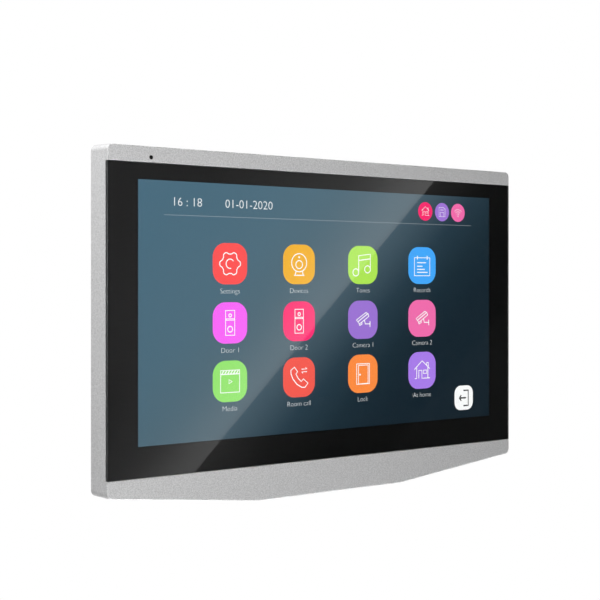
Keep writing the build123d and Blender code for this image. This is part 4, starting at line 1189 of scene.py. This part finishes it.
@dataclass
class Studio:
    """Camera, world, floor, lamps and the card that the glass mirrors."""

    screen: Screen
    yaw: float = 34.06
    lens: float = 68.2
    camera_from_front: tuple[float, float, float] = (-0.3455, -0.4812, 0.0185)
    shift: float = -0.0323
    floor_drop: float = 1.5
    floor_size: float = 4.0
    card_distance: float = 1.0
    card_height: float = 2.4
    soft_light: float = 0.09
    mirrored_front: float = 0.03
    mirrored_back: float = 0.30
    mirrored_above: float = 1.5
    level_band: float = 0.35      # of a direction's Y, over which front turns to back
    steep_band: Point2 = (0.2, 0.7)      # of its squared Z, over which level turns to above
    glare_above: tuple[Point2, ...] = (
        (-180, 0.28), (-105, 0.34), (-38, 0.77), (-25, 1.09), (-11, 1.60), (0, 1.72),
        (0.7, 0.27), (10, 0.18), (25, 0.04), (45, 0.0),
    )
    glare_below: tuple[Point2, ...] = (
        (-180, 0.20), (-60, 0.25), (-35, 0.41), (-25, 0.59), (-10, 1.18), (0, 1.50),
        (0.7, 0.35), (12, 0.22), (24, 0.07), (45, 0.0),
    )
    glare_left: float = -180.0
    glare_width: float = 260.0
    glare_probe: float = 0.1      # a step across the edge, which gives the profiles their scale
    lamps: tuple[Lamp, ...] = (
        Lamp("key", (-0.35, -0.62, 0.05), 0.18, 3.3),
        Lamp("side", (-0.45, 0.14, 0.42), 0.16, 2.9, (-0.12, 0.0, 0.0)),
        Lamp("above", (0.1, -0.12, 1.2), 0.4, 1.5),
        Lamp("below", (0.1, -0.12, -1.2), 0.4, 14.0),
        Lamp("rear", (0.55, 1.35, 0.0), 0.9, 16.0),
    )

    def __post_init__(self) -> None:
        """Work out the camera's place from the front face."""
        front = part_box("front_frame")[0].y
        x, y, z = self.camera_from_front
        self.eye = Vector((x, front + y, z))
        turn = math.radians(self.yaw)
        self.facing = Vector((math.sin(turn), -math.cos(turn), 0.0))

    def set_camera(self) -> None:
        """Stand the camera level, to the left of the screen."""
        data = bpy.data.cameras.new("camera")
        data.lens = self.lens
        data.shift_y = self.shift
        data.clip_start = 10 * MM
        made = bpy.data.objects.new("camera", data)
        made.location = self.eye
        made.rotation_euler = (math.pi / 2, 0.0, -math.radians(self.yaw))
        bpy.context.scene.collection.objects.link(made)
        bpy.context.scene.camera = made

    def set_world(self) -> None:
        """White to the camera; in mirrors, dark before the glass, brighter behind it, bright above."""
        world = bpy.data.worlds.new("studio")
        bpy.context.scene.world = world
        graph = Graph(world)
        direction = graph.node("ShaderNodeTexCoord", output="Generated")
        behind = graph.stretch(graph.axis(direction, "Y"), -self.level_band, self.level_band)
        height = graph.axis(direction, "Z")
        steep = graph.stretch(height * height, *self.steep_band)
        mirrored = graph.node("ShaderNodeLightPath", output="Is Glossy Ray")
        seen = graph.node("ShaderNodeLightPath", output="Is Camera Ray")
        level = graph.blend(behind, grey(self.mirrored_front), grey(self.mirrored_back))
        glossy = graph.blend(steep, level, grey(self.mirrored_above))
        unseen = graph.blend(mirrored, grey(self.soft_light), glossy)
        sky = graph.blend(seen, unseen, grey(1.0))
        graph.node_output(graph.node("ShaderNodeBackground", inputs={"Color": sky}))

    def lay_floor(self) -> None:
        """A pale floor well below the monitor, as a wall-hung piece has."""
        place = (0.0, 0.0, -self.floor_drop)
        floor = add("floor", bpy.ops.mesh.primitive_plane_add, size=self.floor_size, location=place)
        dress(floor, PaleFloor("pale floor"))
        floor.visible_diffuse = False

    def mirrored(self, point: Vector) -> Vector:
        """Where the camera's line to a point of the glass lands on the card's plane.

        Args:
            point: a place on the glass's front.

        Returns:
            The point on the card.
        """
        ray = point - self.eye
        ray.y = -ray.y
        centre = self.facing * self.card_distance
        return point + ray * ((centre - point).dot(self.facing) / ray.dot(self.facing))

    def hang_card(self, start: Vector, end: Vector) -> None:
        """Hang the bright card whose slanting edge the glass mirrors.

        Args:
            start: where the edge meets the top of the glass.
            end: where it meets the bottom of the glass.
        """
        glass_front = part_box("cover_glass")[0].y
        slant = (end - start).normalized()
        beside = start + self.glare_probe * Vector((slant.z, 0.0, -slant.x))
        top, bottom, side = (
            self.mirrored(Vector((point.x, glass_front, point.z))) for point in (start, end, beside)
        )
        along = (bottom - top).normalized()
        across = along.cross(self.facing).normalized()
        reach = (side - top).dot(across)
        if reach > 0:
            across.negate()
        scale = abs(reach) / self.glare_probe * MM
        width = self.glare_width * scale
        card = add("glare_card", bpy.ops.mesh.primitive_plane_add, size=1.0)
        card.data.transform(Matrix.Diagonal((width, self.card_height, 1.0, 1.0)))
        card.data.transform(Matrix.Translation((self.glare_left * scale + width / 2, 0.0, 0.0)))
        turn = Matrix((across, along, across.cross(along))).transposed().to_4x4()
        card.matrix_world = Matrix.Translation((top + bottom) / 2) @ turn
        material = bpy.data.materials.new("glare card")
        graph = Graph(material)
        from_edge = graph.axis(graph.place(), "X") / width - self.glare_left / self.glare_width
        ramps = []
        for profile in (self.glare_above, self.glare_below):
            stops = [((x - self.glare_left) / self.glare_width, grey(v)) for x, v in profile]
            ramps.append(graph.node("ShaderNodeValToRGB", {"stops": stops}, {"Fac": from_edge}))
        half = (bottom - top).length / 2
        downwards = graph.stretch(graph.axis(graph.place(), "Y"), -half, half)
        colour = graph.blend(downwards, ramps[0], ramps[1])
        graph.node_output(graph.node("ShaderNodeEmission", inputs={"Color": colour}))
        card.data.materials.append(material)
        card.visible_camera = False
        card.visible_diffuse = False
        card.visible_shadow = False
        card.visible_transmission = False

    def build(self, home: HomeScreen) -> None:
        """Set up the whole studio."""
        self.set_camera()
        self.set_world()
        self.lay_floor()
        for lamp in self.lamps:
            lamp.build()
        self.hang_card(self.screen.at(*home.front_top), self.screen.at(*home.front_bottom))
        bpy.context.scene.view_settings.view_transform = "Standard"


def main() -> None:
    """Build the studio, dress the housing and light the home screen."""
    logging.basicConfig(level=logging.INFO, format="%(message)s")
    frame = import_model()
    screen = Screen.from_frame()
    home = HomeScreen(screen)
    Studio(screen).build(home)
    Housing().dress_all(frame["nodes"])
    home.build()
    GlassPane().build()
    MicShadeDisc().build()


if __name__ == "__main__":
    main()
